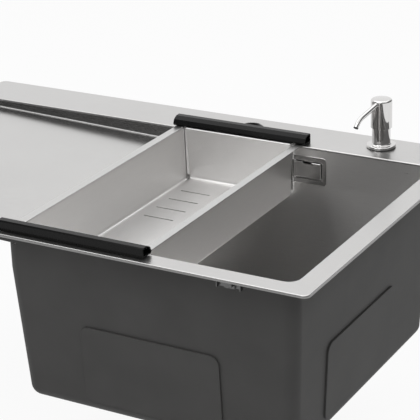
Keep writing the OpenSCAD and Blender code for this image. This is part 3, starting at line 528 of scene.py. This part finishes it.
def buildBowl(shape, plan, board, overflow):
    cx, cy = plan["centre"]
    halfX, halfY = plan["width"] / 2, plan["depth"] / 2
    bowl = addPlate("bowlShell", corner(cx, cy, -rollDepth), plan["width"], plan["depth"], plan["radius"],
                    plan["steps"])
    thicken(z=-mm(shape["straight"] - rollDepth))
    extrudeBy(z=-mm(shape["floor"] - shape["straight"]))
    resizeBy(1 - shape["lean"] / halfX, 1 - shape["lean"] / halfY, 1, corner(cx, cy, -shape["floor"]))
    pick(bowl, "FACE", lambda face: faceAt(face, -mm(rollDepth)))
    bpy.ops.mesh.delete(type="FACE")
    pick(bowl, "EDGE", lambda edge: atLevel(edge, -mm(shape["floor"])))
    bend(shape["footBend"], 7)

    def onFloor(face):
        flat = abs(face.normal.z) > shape["flat"]
        return flat and (face.normal.z < 0 or face.calc_area() > shape["floorArea"])

    # the floor falls to a round recess, and the recess to the drain hole
    pick(bowl, "FACE", onFloor)
    bpy.ops.mesh.delete(type="ONLY_FACE")
    drainPlace = corner(cx, cy, -shape["floor"] - shape["fall"])
    bpy.ops.mesh.select_all(action="DESELECT")
    bpy.ops.mesh.primitive_circle_add(vertices=shape["recessSides"], radius=mm(shape["recess"]),
                                      location=drainPlace,
                                      rotation=(0, 0, math.radians(180 / shape["recessSides"])))
    floorEdge = -mm(shape["floor"]) + levelSlack

    def aroundFloor(edge):
        return edge.is_wire or edge.is_boundary and max(v.co.z for v in edge.verts) < floorEdge

    pick(bowl, "EDGE", aroundFloor)
    bpy.ops.mesh.bridge_edge_loops()
    pick(bowl, "EDGE", lambda edge: edge.is_boundary and atLevel(edge, drainPlace.z))
    insetTo(shape["recess"], shape["drain"], drainPlace)
    # the left wall starts under the board's edge
    normal = boardNormal(board)
    under = corner(board["bowlX"], 0, -board["deep"] - sheet)
    boardEnd = corner(board["x1"], 0)
    divideAt(under, normal)
    divideAt(boardEnd, (1, 0, 0))

    def overBoard(face):
        at = face.calc_center_median()
        return at.x < boardEnd.x and (at - under).dot(normal) > 0

    pick(bowl, "FACE", overBoard)
    bpy.ops.mesh.delete(type="FACE")
    turnFaces(bowl, corner(cx, cy + halfY, shape["onWallZ"]), (0, -1, 0))
    closeEdit()
    # the inside takes the lightened steel, which paints light into the bowl, and the outside the coat
    giveMaterials(bowl, steelBowlPaintedLight, coatBowl)
    makeSheet(bowl, material_offset=1, material_offset_rim=1)
    x, y, z = overflow
    inFront = corner(x, y - shape["holeStart"], z)
    hole = addPlate("overflowCutter", inFront, *shape["hole"], shape["holeRadius"], 3, upright)
    thicken(y=mm(shape["holeCut"]))
    turnFaces(hole, inFront, (0, -1, 0))
    closeEdit()
    cutWith(bowl, [hole])
    finishPiece(bowl, "sink", "bowl_coat", "bowl")


def insetTo(oldRadius, newRadius, centre):
    # draws a ring of edges, or a round face, in or out to a new radius
    bpy.ops.mesh.extrude_region_move()
    share = newRadius / oldRadius
    resizeBy(share, share, 1, centre)


buildBowl(bowlShape, bowlPlan, boardShape, overflowPlace)
print("bowl made")

# sound pads under the coat: the side, counted from the front to the right, and the shift along it
padShape = {"width": 195, "height": 106, "thick": 2.5, "foot": 222, "radius": 12, "steps": 5, "edge": 0.7,
            "lean": 9.8, "leanHeight": 182.5}
padPlaces = {"padFront": (0, 0, "pad_front"), "padRight": (1, -20, "pad_right"),
             "padRear": (2, 0, "pad_rear"), "padLeft": (3, 20, "pad_left")}


def buildPad(name, side, shift, nodeName, shape, plan, straight):
    leanAngle = math.atan(shape["lean"] / shape["leanHeight"])
    half = plan["depth" if side % 2 == 0 else "width"] / 2
    leanIn = shape["lean"] * (shape["foot"] - straight) / shape["leanHeight"]
    up = Vector((0, -math.sin(leanAngle), math.cos(leanAngle)))
    out = Vector((0, -math.cos(leanAngle), -math.sin(leanAngle)))
    turn = Matrix.Rotation(math.radians(90 * side), 3, "Z")
    foot = Vector((shift, -half - sheet + leanIn, -shape["foot"]))
    local = turn @ (foot + up * shape["height"] / 2)
    cx, cy = plan["centre"]
    place = corner(cx + local.x, cy + local.y, local.z)
    pad = addPlate(name, place, shape["width"], shape["height"], shape["radius"], shape["steps"],
                   (math.radians(90) + leanAngle, 0, math.radians(90 * side)))
    direction = turn @ out
    thicken(*(direction * mm(shape["thick"])))
    face = place + direction * mm(shape["thick"])
    turnFaces(pad, face, direction)
    pick(pad, "EDGE", lambda edge: all(abs((v.co - face).dot(direction)) < nearby for v in edge.verts))
    bend(shape["edge"], 3)
    closeEdit()
    giveMaterials(pad, coatPad)
    finishPiece(pad, "sink", "pad_coat", nodeName)


for name, (side, shift, nodeName) in padPlaces.items():
    buildPad(name, side, shift, nodeName, padShape, bowlPlan, bowlShape["straight"])
print("pads made")

# the foot relief has its inset, its rise over the floor and its size; the top one its insets, level and size
trayShape = {"centre": (458.5, 229), "halfX": 87.3, "halfY": 199.8, "radius": 5, "steps": 5, "top": 1.5,
             "floor": 73.8, "lean": 4.5, "footBend": 4, "flangeX": 99.5, "flangeY": 218.3, "flangeRadius": 2,
             "flangeReach": 7, "fold": 2.2, "seam": 1.8, "seamLength": 16, "seamShift": 1, "seamRise": 2,
             "seamSpare": 3, "footRelief": (1.5, 2.2, (12, 5, 7)), "topRelief": (2, 1, 3, (7, 7, 6)),
             "slotLength": 47, "slotWidth": 2.2, "slotRadius": 1.05, "slotRows": 4, "slotPitch": 33.5,
             "slotX": 42.4, "slotY": 50.4, "slotRise": 4, "slotCut": 10}


def addSlotCutters(shape, slot, sideX, sideY):
    copies = []
    for number in range(shape["slotRows"]):
        copy = slot.copy()
        copy.data = slot.data.copy()
        bpy.context.collection.objects.link(copy)
        makeActive(copy)
        step = shape["slotY"] + number * shape["slotPitch"]
        bpy.ops.transform.translate(value=(mm(sideX * shape["slotX"]), mm(sideY * step), 0))
        applyPlace()
        copies.append(copy)
    return copies


def addSeamCutters(shape, sideX, sideY):
    # an open seam down a corner, with reliefs at both its ends
    cx, cy = shape["centre"]
    turn = 45 * sideX * sideY
    seamPlace = corner(cx + sideX * (shape["halfX"] - shape["seamShift"]),
                       cy + sideY * (shape["halfY"] + shape["seamShift"]),
                       -shape["floor"] / 2 + shape["seamRise"])
    seamSize = (shape["seamLength"], shape["seam"], shape["floor"] + shape["seamSpare"])
    blocks = [addBlock("seamCutter", seamPlace, seamSize, turn)]
    inset, rise, footSize = shape["footRelief"]
    footRelief = (inset + shape["lean"], inset, -shape["floor"] + rise, footSize)
    for insetX, insetY, level, size in (footRelief, shape["topRelief"]):
        place = corner(cx + sideX * (shape["halfX"] - insetX), cy + sideY * (shape["halfY"] - insetY), level)
        blocks.append(addBlock("reliefCutter", place, size, turn))
    return blocks


def buildTray(shape):
    cx, cy = shape["centre"]
    top = mm(shape["top"])
    corners = [(sideX, sideY) for sideX in (-1, 1) for sideY in (-1, 1)]
    tray = addPlate("colanderTray", corner(cx, cy, shape["top"]), 2 * shape["halfX"], 2 * shape["halfY"],
                    shape["radius"], shape["steps"])
    thicken(z=-mm(shape["floor"] + shape["top"]))
    resizeBy(1 - shape["lean"] / shape["halfX"], 1, 1, corner(cx, cy, -shape["floor"]))
    pick(tray, "EDGE", lambda edge: atLevel(edge, -mm(shape["floor"])))
    bend(shape["footBend"], 5)
    pick(tray, "FACE", lambda face: faceAt(face, top))
    bpy.ops.mesh.delete(type="ONLY_FACE")
    # the flange is drawn out from the tray's edge, then its corners are made tighter
    wideX, wideY = shape["flangeX"] / shape["halfX"], shape["flangeY"] / shape["halfY"]
    pick(tray, "EDGE", lambda edge: edge.is_boundary and atLevel(edge, top))
    bpy.ops.mesh.extrude_region_move()
    resizeBy(wideX, wideY, 1, corner(cx, cy, shape["top"]))
    tighter = shape["flangeRadius"] / shape["radius"]
    for sideX, sideY in corners:
        tip = corner(cx + sideX * shape["flangeX"], cy + sideY * shape["flangeY"], shape["top"])
        pick(tray, "VERT", lambda point: (point.co - tip).length < mm(shape["flangeReach"]))
        resizeBy(tighter / wideX, tighter / wideY, 1, tip)
    pick(tray, "EDGE", lambda edge: atLevel(edge, top) and atFold(edge))
    bend(shape["fold"], 5)
    turnFaces(tray, corner(cx, cy, -shape["floor"]), (0, 0, 1))
    closeEdit()
    # the inside takes the lightened steel, which is painted light, and the flange keeps the deck's satin
    # steel
    giveMaterials(tray, steelTrayPaintedLight, steelSatin)
    for face in tray.data.polygons:
        if abs(face.center.z - top) < nearby:
            face.material_index = 1
    makeSheet(tray)
    overFloor = corner(cx, cy, -shape["floor"] + shape["slotRise"])
    slot = addPlate("slotCutter", overFloor, shape["slotLength"], shape["slotWidth"], shape["slotRadius"], 4)
    thicken(z=-mm(shape["slotCut"]))
    turnFaces(slot, overFloor, (0, 0, 1))
    closeEdit()
    cutters = []
    for sideX, sideY in corners:
        cutters += addSlotCutters(shape, slot, sideX, sideY)
        cutters += addSeamCutters(shape, sideX, sideY)
    bpy.data.objects.remove(slot)
    cutWith(tray, cutters)
    finishPiece(tray, "tray", "tray_steel", "tray_body")


buildTray(trayShape)
print("tray made")

# places on a rail's section run inwards from its outer face and up from the deck
railShape = {"halfLength": 104, "depth": 19, "foot": 1.5, "top": 14, "wall": 1.8, "outer": 220.3, "edge": 0.4,
             "edgeAngle": 22, "lip": 1.2, "inside": (10, 8), "onTop": (6, 14),
             "slopes": (((9.69, 14), (16.53, 10.375)), ((16.53, 10.375), (19, 5)),
                        ((19, 3.625), (16.72, 1.5)), ((0, 12.4), (1.5, 14)))}


def buildRail(name, nodeName, side, shape, tray):
    # side -1 is the front rail and 1 the rear one; its outer face looks away from the tray
    cx, cy = tray["centre"]

    def at(inwards, z):
        return corner(cx, cy + side * (shape["outer"] - inwards), z)

    size = (2 * shape["halfLength"], shape["depth"], shape["top"] - shape["foot"])
    rail = addBlock(name, at(shape["depth"] / 2, (shape["foot"] + shape["top"]) / 2), size)
    openEdit(rail)
    inside = at(*shape["inside"])
    for first, second in shape["slopes"]:
        a, b = at(*first), at(*second)
        run = (b - a).normalized()
        away = Vector((0, -run.z, run.y))
        if away.dot(inside - a) > 0:
            away = -away
        divideAt(a, away, use_fill=True, clear_outer=True)
    # hollow from end to end
    pick(rail, "FACE", lambda face: abs(face.normal.x) > along)
    bpy.ops.mesh.inset(thickness=mm(shape["wall"]), use_even_offset=True)
    bpy.ops.mesh.bridge_edge_loops()
    # the outer wall reaches down over the end of the tray's flange
    wallPlace = at(shape["wall"], 0)
    divideAt(wallPlace, (0, 1, 0))

    def underWall(face):
        outside = (face.calc_center_median().y - wallPlace.y) * side > 0
        return face.normal.z < -along and faceAt(face, mm(shape["foot"])) and outside

    pick(rail, "FACE", underWall)
    extrudeBy(z=-mm(shape["lip"]))
    mergePoints()
    turnFaces(rail, at(*shape["onTop"]), (0, 0, 1))
    closeEdit()
    giveMaterials(rail, blackRail)
    roundEdges(rail, shape["edge"], 3, shape["edgeAngle"])
    finishPiece(rail, "tray", "handle_black", nodeName)


buildRail("railFront", "tray_handle_front", -1, railShape, trayShape)
buildRail("railRear", "tray_handle_rear", 1, railShape, trayShape)
print("rails made")

frameShape = {"width": 58, "height": 40, "proud": 0.8, "radius": 5, "steps": 5, "border": 3.5,
              "boss": (47, 29), "dish": (45, 27), "reach": 3.0, "largeArea": 0.0005, "onBorder": 27.5,
              "slot": (33, 5), "slotRadius": 2, "slotOffset": 8, "slotStart": 1, "slotCut": 8, "edge": 0.38}
coverShape = {"width": 41, "height": 22.5, "radius": 1.5, "steps": 4, "front": 1.0, "wall": 1.2,
              "frontEdge": 1.0, "edge": 0.25, "slant": (0.1, 0.98), "notch": (13, 12, 4), "post": 2.5,
              "postLength": 3.4, "postStart": 0.6, "postShift": 1.2, "postSides": 24, "postEnd": 3,
              "postEdge": 0.5}
edgeAngle = 40


def buildOverflowFrame(shape, place):
    x, y, z = place
    front = corner(x, y - shape["proud"], z)
    rim = addPlate("overflowFrame", front, shape["width"], shape["height"], shape["radius"], shape["steps"],
                   upright)
    thicken(y=mm(shape["proud"]))
    turnFaces(rim, front, (0, -1, 0))
    # a boss behind and a dish in front
    insideX, insideZ = shape["width"] - 2 * shape["border"], shape["height"] - 2 * shape["border"]
    for looks, (wide, high) in ((1, shape["boss"]), (-1, shape["dish"])):
        pick(rim, "FACE", lambda face: (face.normal.y * looks > along
                                        and face.calc_area() > shape["largeArea"]))
        bpy.ops.mesh.inset(thickness=mm(shape["border"]), use_even_offset=True)
        bpy.ops.mesh.extrude_region_move()
        resizeBy(wide / insideX, 1, high / insideZ, front)
        extrudeBy(y=mm(shape["reach"]))
    mergePoints()
    turnFaces(rim, front + Vector((mm(shape["onBorder"]), 0, 0)), (0, -1, 0))
    closeEdit()
    # the rounded edges take the bright steel, which paints their highlights
    giveMaterials(rim, steelPlate, steelPaintedHighlight)
    slots = []
    for side in (-1, 1):
        slotPlace = corner(x, y - shape["slotStart"], z + side * shape["slotOffset"])
        slot = addPlate("rimSlot", slotPlace, *shape["slot"], shape["slotRadius"], 3, upright)
        thicken(y=mm(shape["slotCut"]))
        turnFaces(slot, slotPlace, (0, -1, 0))
        closeEdit()
        slots.append(slot)
    cutWith(rim, slots)
    roundEdges(rim, shape["edge"], 2, edgeAngle, material=1)
    finishPiece(rim, "sink", "satin_steel", "overflow_frame")


def addPost(shape, place):
    # the post that snaps into the frame
    x, y, z = place
    start = corner(x, y + shape["postStart"], z)
    post = addRound("coverPost", start, shape["post"], shape["postLength"], shape["postSides"])
    openEdit(post, "VERT")
    bpy.ops.transform.rotate(value=math.radians(90), orient_axis="X", center_override=tuple(start))
    bpy.ops.transform.translate(value=(0, mm(shape["postShift"]), 0))
    endY = corner(x, y + shape["postEnd"]).y
    pick(post, "EDGE", lambda edge: all(v.co.y > endY for v in edge.verts))
    bend(shape["postEdge"], 2)
    closeEdit()
    return post


def buildOverflowCover(shape, place):
    x, y, z = place
    front = corner(x, y - shape["front"], z)
    cover = addPlate("overflowCover", front, shape["width"], shape["height"], shape["radius"], shape["steps"],
                     upright)
    thicken(y=mm(2 * shape["wall"]))
    turnFaces(cover, front, (0, -1, 0))
    pick(cover, "FACE", lambda face: face.normal.y > along)
    bpy.ops.mesh.inset(thickness=mm(shape["wall"]), use_even_offset=True)
    extrudeBy(y=-mm(shape["wall"]))
    pick(cover, "EDGE", lambda edge: all(abs(v.co.y - front.y) < mergeSlack for v in edge.verts))
    bend(shape["frontEdge"], 3)
    closeEdit()
    giveMaterials(cover, steelPlate, steelPaintedHighlight)
    # the slanted front edges take the bright steel, which paints their highlights
    leastSlant, mostSlant = shape["slant"]
    for face in cover.data.polygons:
        if leastSlant < -face.normal.y < mostSlant:
            face.material_index = 1
    notchPlace = corner(x, y - shape["front"], z + shape["height"] / 2)
    cutWith(cover, [addBlock("notchCutter", notchPlace, shape["notch"])])
    roundEdges(cover, shape["edge"], 2, edgeAngle)
    post = addPost(shape, place)
    makeActive(cover)
    post.select_set(True)
    bpy.ops.object.join()
    finishPiece(cover, "sink", "satin_steel", "overflow_cover")


buildOverflowFrame(frameShape, overflowPlace)
buildOverflowCover(coverShape, overflowPlace)
print("overflow made")

collarShape = {"flange": 20, "foot": 1, "top": 4.6, "topBend": 1.6, "neck": 12.6, "neckTop": 44,
               "neckBend": 2.8, "neckEdge": 1, "hollow": 18.9, "hollowDepth": 1.6, "plug": 10.5,
               "plugFoot": -12, "bore": 4.08, "onFlange": 17}
capShape = {"radius": 14.6, "foot": 28.5, "top": 69.5, "dome": 0.7, "topBend": 3, "skirt": 13.1, "crown": 57,
            "bore": 4.08, "boreDepth": 6, "footEdge": 0.4, "rings": ((6.5, 0.55), (2.5, 0.13))}
spoutShape = {"radius": 3.3, "sides": 24, "z": 64.7, "turn": -97.3, "tilt": 11, "start": 6, "run": 44.345,
              "bend": 23, "bendEnd": 49, "bendSteps": 12, "tip": 3, "wall": 1}
springShape = {"radius": 4.8, "wire": 0.5, "wireSides": 8, "foot": -65.45, "run": 34.9, "turns": 8,
               "steps": 16, "seat": -66, "stroke": 12}
manySides = 30  # a face with more corners than this is a round end
ringSlack = 0.2


def pickRounds(piece, z=None):
    # the round ends at a level, or all of them
    def isRound(face):
        level = z is None or abs(face.normal.z) > along and faceAt(face, mm(z))
        return level and len(face.verts) > manySides

    pick(piece, "FACE", isRound)


def pickRing(piece, centre, radius):
    # the level ring of edges at a distance from the axis
    def onRing(edge):
        reach = [(v.co - centre).length for v in edge.verts]
        return atLevel(edge, centre.z) and all(abs(r - mm(radius)) < mm(ringSlack) for r in reach)

    pick(piece, "EDGE", onRing)


def buildCollar(shape, place):
    def at(z):
        return corner(*place, z)

    top, foot, neckTop = shape["top"], shape["foot"], shape["neckTop"]
    collar = addRound("pumpCollar", at((foot + top) / 2), shape["flange"], top - foot)
    openEdit(collar)
    pickRounds(collar, top)
    insetTo(shape["flange"], shape["neck"], at(top))
    extrudeBy(z=mm(neckTop - top))
    insetTo(shape["neck"], shape["bore"], at(neckTop))
    pickRounds(collar, foot)
    insetTo(shape["flange"], shape["hollow"], at(foot))
    extrudeBy(z=mm(shape["hollowDepth"]))
    hollowTop = foot + shape["hollowDepth"]
    insetTo(shape["hollow"], shape["plug"], at(hollowTop))
    extrudeBy(z=mm(shape["plugFoot"] - hollowTop))
    insetTo(shape["plug"], shape["bore"], at(shape["plugFoot"]))
    pickRounds(collar)
    bpy.ops.mesh.bridge_edge_loops()
    for level, radius, width, steps in ((top, shape["flange"], shape["topBend"], 4),
                                        (top, shape["neck"], shape["neckBend"], 5),
                                        (neckTop, shape["neck"], shape["neckEdge"], 3)):
        pickRing(collar, at(level), radius)
        bend(width, steps)
    turnFaces(collar, corner(place[0] + shape["onFlange"], place[1], top), (0, 0, 1))
    closeEdit()
    giveMaterials(collar, steelBrushed)
    finishPiece(collar, "sink", "dispenser_steel", "dispenser_collar")


def buildCap(shape, place):
    def at(z):
        return corner(*place, z)

    flat, foot = shape["top"] - shape["dome"], shape["foot"]
    cap = addRound("pumpCap", at((flat + foot) / 2), shape["radius"], flat - foot)
    openEdit(cap)
    pick(cap, "EDGE", lambda edge: atLevel(edge, mm(flat)))
    bend(shape["topBend"], 6)
    # a low dome, ring by ring
    pickRounds(cap, flat)
    radius, level = shape["radius"] - shape["topBend"], flat
    for ring, rise in shape["rings"]:
        insetTo(radius, ring, at(level))
        raiseBy(rise)
        radius, level = ring, level + rise
    # hollow skirt over the collar's neck
    pickRounds(cap, foot)
    insetTo(shape["radius"], shape["skirt"], at(foot))
    extrudeBy(z=mm(shape["crown"] - foot))
    insetTo(shape["skirt"], shape["bore"], at(shape["crown"]))
    extrudeBy(z=mm(shape["boreDepth"]))
    pickRing(cap, at(foot), shape["radius"])
    bend(shape["footEdge"], 2)
    turnFaces(cap, at(shape["top"]), (0, 0, 1))
    closeEdit()
    giveMaterials(cap, steelBrushed)
    finishPiece(cap, "pump_head", "dispenser_steel", "pump_cap")


def buildSpout(shape, place):
    turn = Matrix.Rotation(math.radians(shape["turn"]), 3, "Z")
    tilt = math.radians(shape["tilt"])
    forward = turn @ Vector((math.cos(tilt), 0, -math.sin(tilt)))
    upward = turn @ Vector((math.sin(tilt), 0, math.cos(tilt)))
    side = forward.cross(upward)
    start = corner(*place, shape["z"]) + turn @ Vector((mm(shape["start"]), 0, 0))
    facing = forward.to_track_quat("Z", "Y").to_euler()
    spout = addRing("pumpSpout", start, shape["radius"], shape["sides"], facing)
    openEdit(spout, "EDGE")
    run = forward * mm(shape["run"])
    extrudeBy(*run)
    bendAngle = math.radians(shape["bendEnd"] - shape["tilt"])
    pivot = start + run - upward * mm(shape["bend"])
    bpy.ops.mesh.spin(steps=shape["bendSteps"], angle=-bendAngle, center=tuple(pivot), axis=tuple(-side))
    end = Matrix.Rotation(bendAngle, 3, -side) @ forward
    extrudeBy(*(end * mm(shape["tip"])))
    mergePoints()
    turnFaces(spout, start + run / 2 + upward * mm(shape["radius"]), upward)
    closeEdit()
    giveMaterials(spout, steelBrushed)
    useModifier(spout, "SOLIDIFY", thickness=mm(shape["wall"]), offset=-1)
    finishPiece(spout, "pump_head", "dispenser_steel", "pump_spout")


def buildSpring(shape, place):
    spring = addRing("pumpSpring", (mm(shape["radius"]), 0, 0), shape["wire"], shape["wireSides"], upright)
    steps = shape["turns"] * shape["steps"]
    useModifier(spring, "SCREW", axis="Z", angle=math.radians(360 * shape["turns"]),
                screw_offset=mm(shape["run"]), steps=steps, render_steps=steps, iterations=1)
    openEdit(spring, "EDGE")
    bpy.ops.mesh.fill_holes(sides=0)
    bpy.ops.mesh.select_all(action="SELECT")
    bpy.ops.mesh.normals_make_consistent(inside=False)
    bpy.ops.transform.translate(value=tuple(corner(*place, shape["foot"])))
    closeEdit()
    giveMaterials(spring, steelBright)
    finishPiece(spring, "sink", "bright_steel", "pump_spring")
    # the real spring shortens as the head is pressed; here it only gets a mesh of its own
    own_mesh(spring)


pumpPlace = deckShape["pumpPlace"]
buildCollar(collarShape, pumpPlace)
buildCap(capShape, pumpPlace)
buildSpout(spoutShape, pumpPlace)
buildSpring(springShape, pumpPlace)
print("pump made")

# finishes of the pieces that keep their shape from the frame
# the zinc pieces take the darkened zinc steel, which paints their shade
finishes = {
    "pad_base": coatPad, "drainboard_stiffeners": steelZincPaintedShade, "tap_brace": steelZincPaintedShade, "rim_seal": blackRubber,
    "clip_brackets": steelZincPaintedShade, "clip_hooks": steelZincPaintedShade, "clip_screws": steelZincPaintedShade,
    "overflow_gasket": blackRubber, "overflow_housing": whitePlastic, "overflow_screws": steelZincPaintedShade,
    "overflow_pipe": whitePlastic, "pipe_nuts": whitePlastic, "strainer_cup": steelBright,
    "strainer_seal": blackRubber, "waste_gasket": blackRubber, "waste_body": whitePlastic,
    "waste_screw": steelBright, "strainer_basket": steelBright, "basket_knob": steelBright,
    "basket_stopper": blackRubber, "dispenser_seal": blackRubber, "dispenser_shank": blackPlastic,
    "shank_washer": blackRubber, "shank_nut": blackPlastic, "spout_nozzle": blackPlastic,
    "pump_stem": steelBrushed, "pump_piston": blackRubber, "pump_barrel": blackPlastic,
    "inlet_ball": steelBright, "dip_tube": clearPlastic, "soap_bottle": clearPlastic}

for nodeName, material in finishes.items():
    giveMaterials(nodes[nodeName], material)
print("finishes given")

# from here on lengths are in metres
floorShape = {"size": 44.0, "place": (0, 2.5, -0.345), "colour": 0.75, "glow": 0.93, "white": 1}


def buildFloor(shape):
    # looks almost white to the camera and in metal, but lights the sink as a plain matt floor
    clearSelection()
    bpy.ops.mesh.primitive_plane_add(size=shape["size"], location=shape["place"])
    ground = bpy.context.object
    ground.name = "paleFloor"
    applyPlace()
    material = bpy.data.materials.new("paleFloor")
    material.use_nodes = True
    tree = material.node_tree
    tree.nodes.clear()
    matt = tree.nodes.new("ShaderNodeBsdfDiffuse")
    matt.inputs["Color"].default_value = (*grey(shape["colour"]), 1)
    glow = tree.nodes.new("ShaderNodeEmission")
    glow.inputs["Strength"].default_value = shape["white"]
    rays = tree.nodes.new("ShaderNodeLightPath").outputs
    seen = addMath(tree, "MAXIMUM", rays["Is Camera Ray"], rays["Is Glossy Ray"])
    seen = addMath(tree, "MAXIMUM", seen, rays["Is Transmission Ray"])
    mix = tree.nodes.new("ShaderNodeMixShader")
    out = tree.nodes.new("ShaderNodeOutputMaterial")
    tree.links.new(addMath(tree, "MULTIPLY", seen, shape["glow"]), mix.inputs[0])
    tree.links.new(matt.outputs[0], mix.inputs[1])
    tree.links.new(glow.outputs[0], mix.inputs[2])
    tree.links.new(mix.outputs[0], out.inputs[0])
    giveMaterials(ground, material)


buildFloor(floorShape)

# the studio is brightest behind the sink and dimmer towards the viewer
skyShape = {"towards": (-0.651, 0.651, 0.391), "strength": 1,
            "levels": ((0.0, 0.15), (0.4, 0.15), (0.6, 0.17), (0.76, 0.3), (0.88, 0.98), (1.0, 1.0))}


def buildSky(shape):
    world = bpy.data.worlds.new("studio")
    bpy.context.scene.world = world
    world.use_nodes = True
    tree = world.node_tree
    background = tree.nodes["Background"]
    place = tree.nodes.new("ShaderNodeTexCoord")
    facing = tree.nodes.new("ShaderNodeVectorMath")
    facing.operation = "DOT_PRODUCT"
    facing.inputs[1].default_value = shape["towards"]
    spread = tree.nodes.new("ShaderNodeMapRange")
    spread.inputs["From Min"].default_value = -1
    ramp = tree.nodes.new("ShaderNodeValToRGB")
    elements = ramp.color_ramp.elements
    for number, (position, level) in enumerate(shape["levels"]):
        element = elements[number] if number < 2 else elements.new(position)
        element.position = position
        element.color = (*grey(level), 1)
    tree.links.new(place.outputs["Generated"], facing.inputs[0])
    tree.links.new(facing.outputs["Value"], spread.inputs["Value"])
    tree.links.new(spread.outputs["Result"], ramp.inputs["Fac"])
    tree.links.new(ramp.outputs["Color"], background.inputs["Color"])
    background.inputs["Strength"].default_value = shape["strength"]


buildSky(skyShape)

lampTarget = (0.05, -0.24, -0.12)
lamps = {"key": {"place": (-0.2, -1.9, 1.9), "size": 2.2, "power": 20},
         "top": {"place": (0.1, -0.2, 2.3), "size": 4.4, "power": 60}}


def addLamp(name, place, size, power):
    facing = (Vector(lampTarget) - Vector(place)).to_track_quat("-Z", "Y").to_euler()
    clearSelection()
    bpy.ops.object.light_add(type="AREA", location=place, rotation=facing)
    lamp = bpy.context.object
    lamp.name = name
    lamp.data.shape = "SQUARE"
    lamp.data.size = size
    lamp.data.energy = power


for name, settings in lamps.items():
    addLamp(name, **settings)

# the roll is in degrees, the lens and the sensor's width in millimetres
viewShape = {"place": (1.0701, -1.9670, 0.7819), "right": (0.8648, 0.5021, 0.0),
             "up": (-0.1886, 0.3249, 0.9268), "roll": -1.970, "lens": 143.155, "sensor": 36, "reach": 60}


def addCamera(shape):
    roll = math.radians(shape["roll"])
    right, up = Vector(shape["right"]).normalized(), Vector(shape["up"]).normalized()
    across = math.cos(roll) * right + math.sin(roll) * up
    upwards = -math.sin(roll) * right + math.cos(roll) * up
    backwards = across.cross(upwards)
    turn = Matrix((across, upwards, backwards)).transposed().to_euler()
    clearSelection()
    bpy.ops.object.camera_add(location=shape["place"], rotation=turn)
    camera = bpy.context.object
    camera.data.lens = shape["lens"]
    camera.data.sensor_width = shape["sensor"]
    camera.data.clip_end = shape["reach"]
    bpy.context.scene.camera = camera


addCamera(viewShape)
bpy.context.scene.view_settings.view_transform = "Standard"
print("floor, light and camera set")
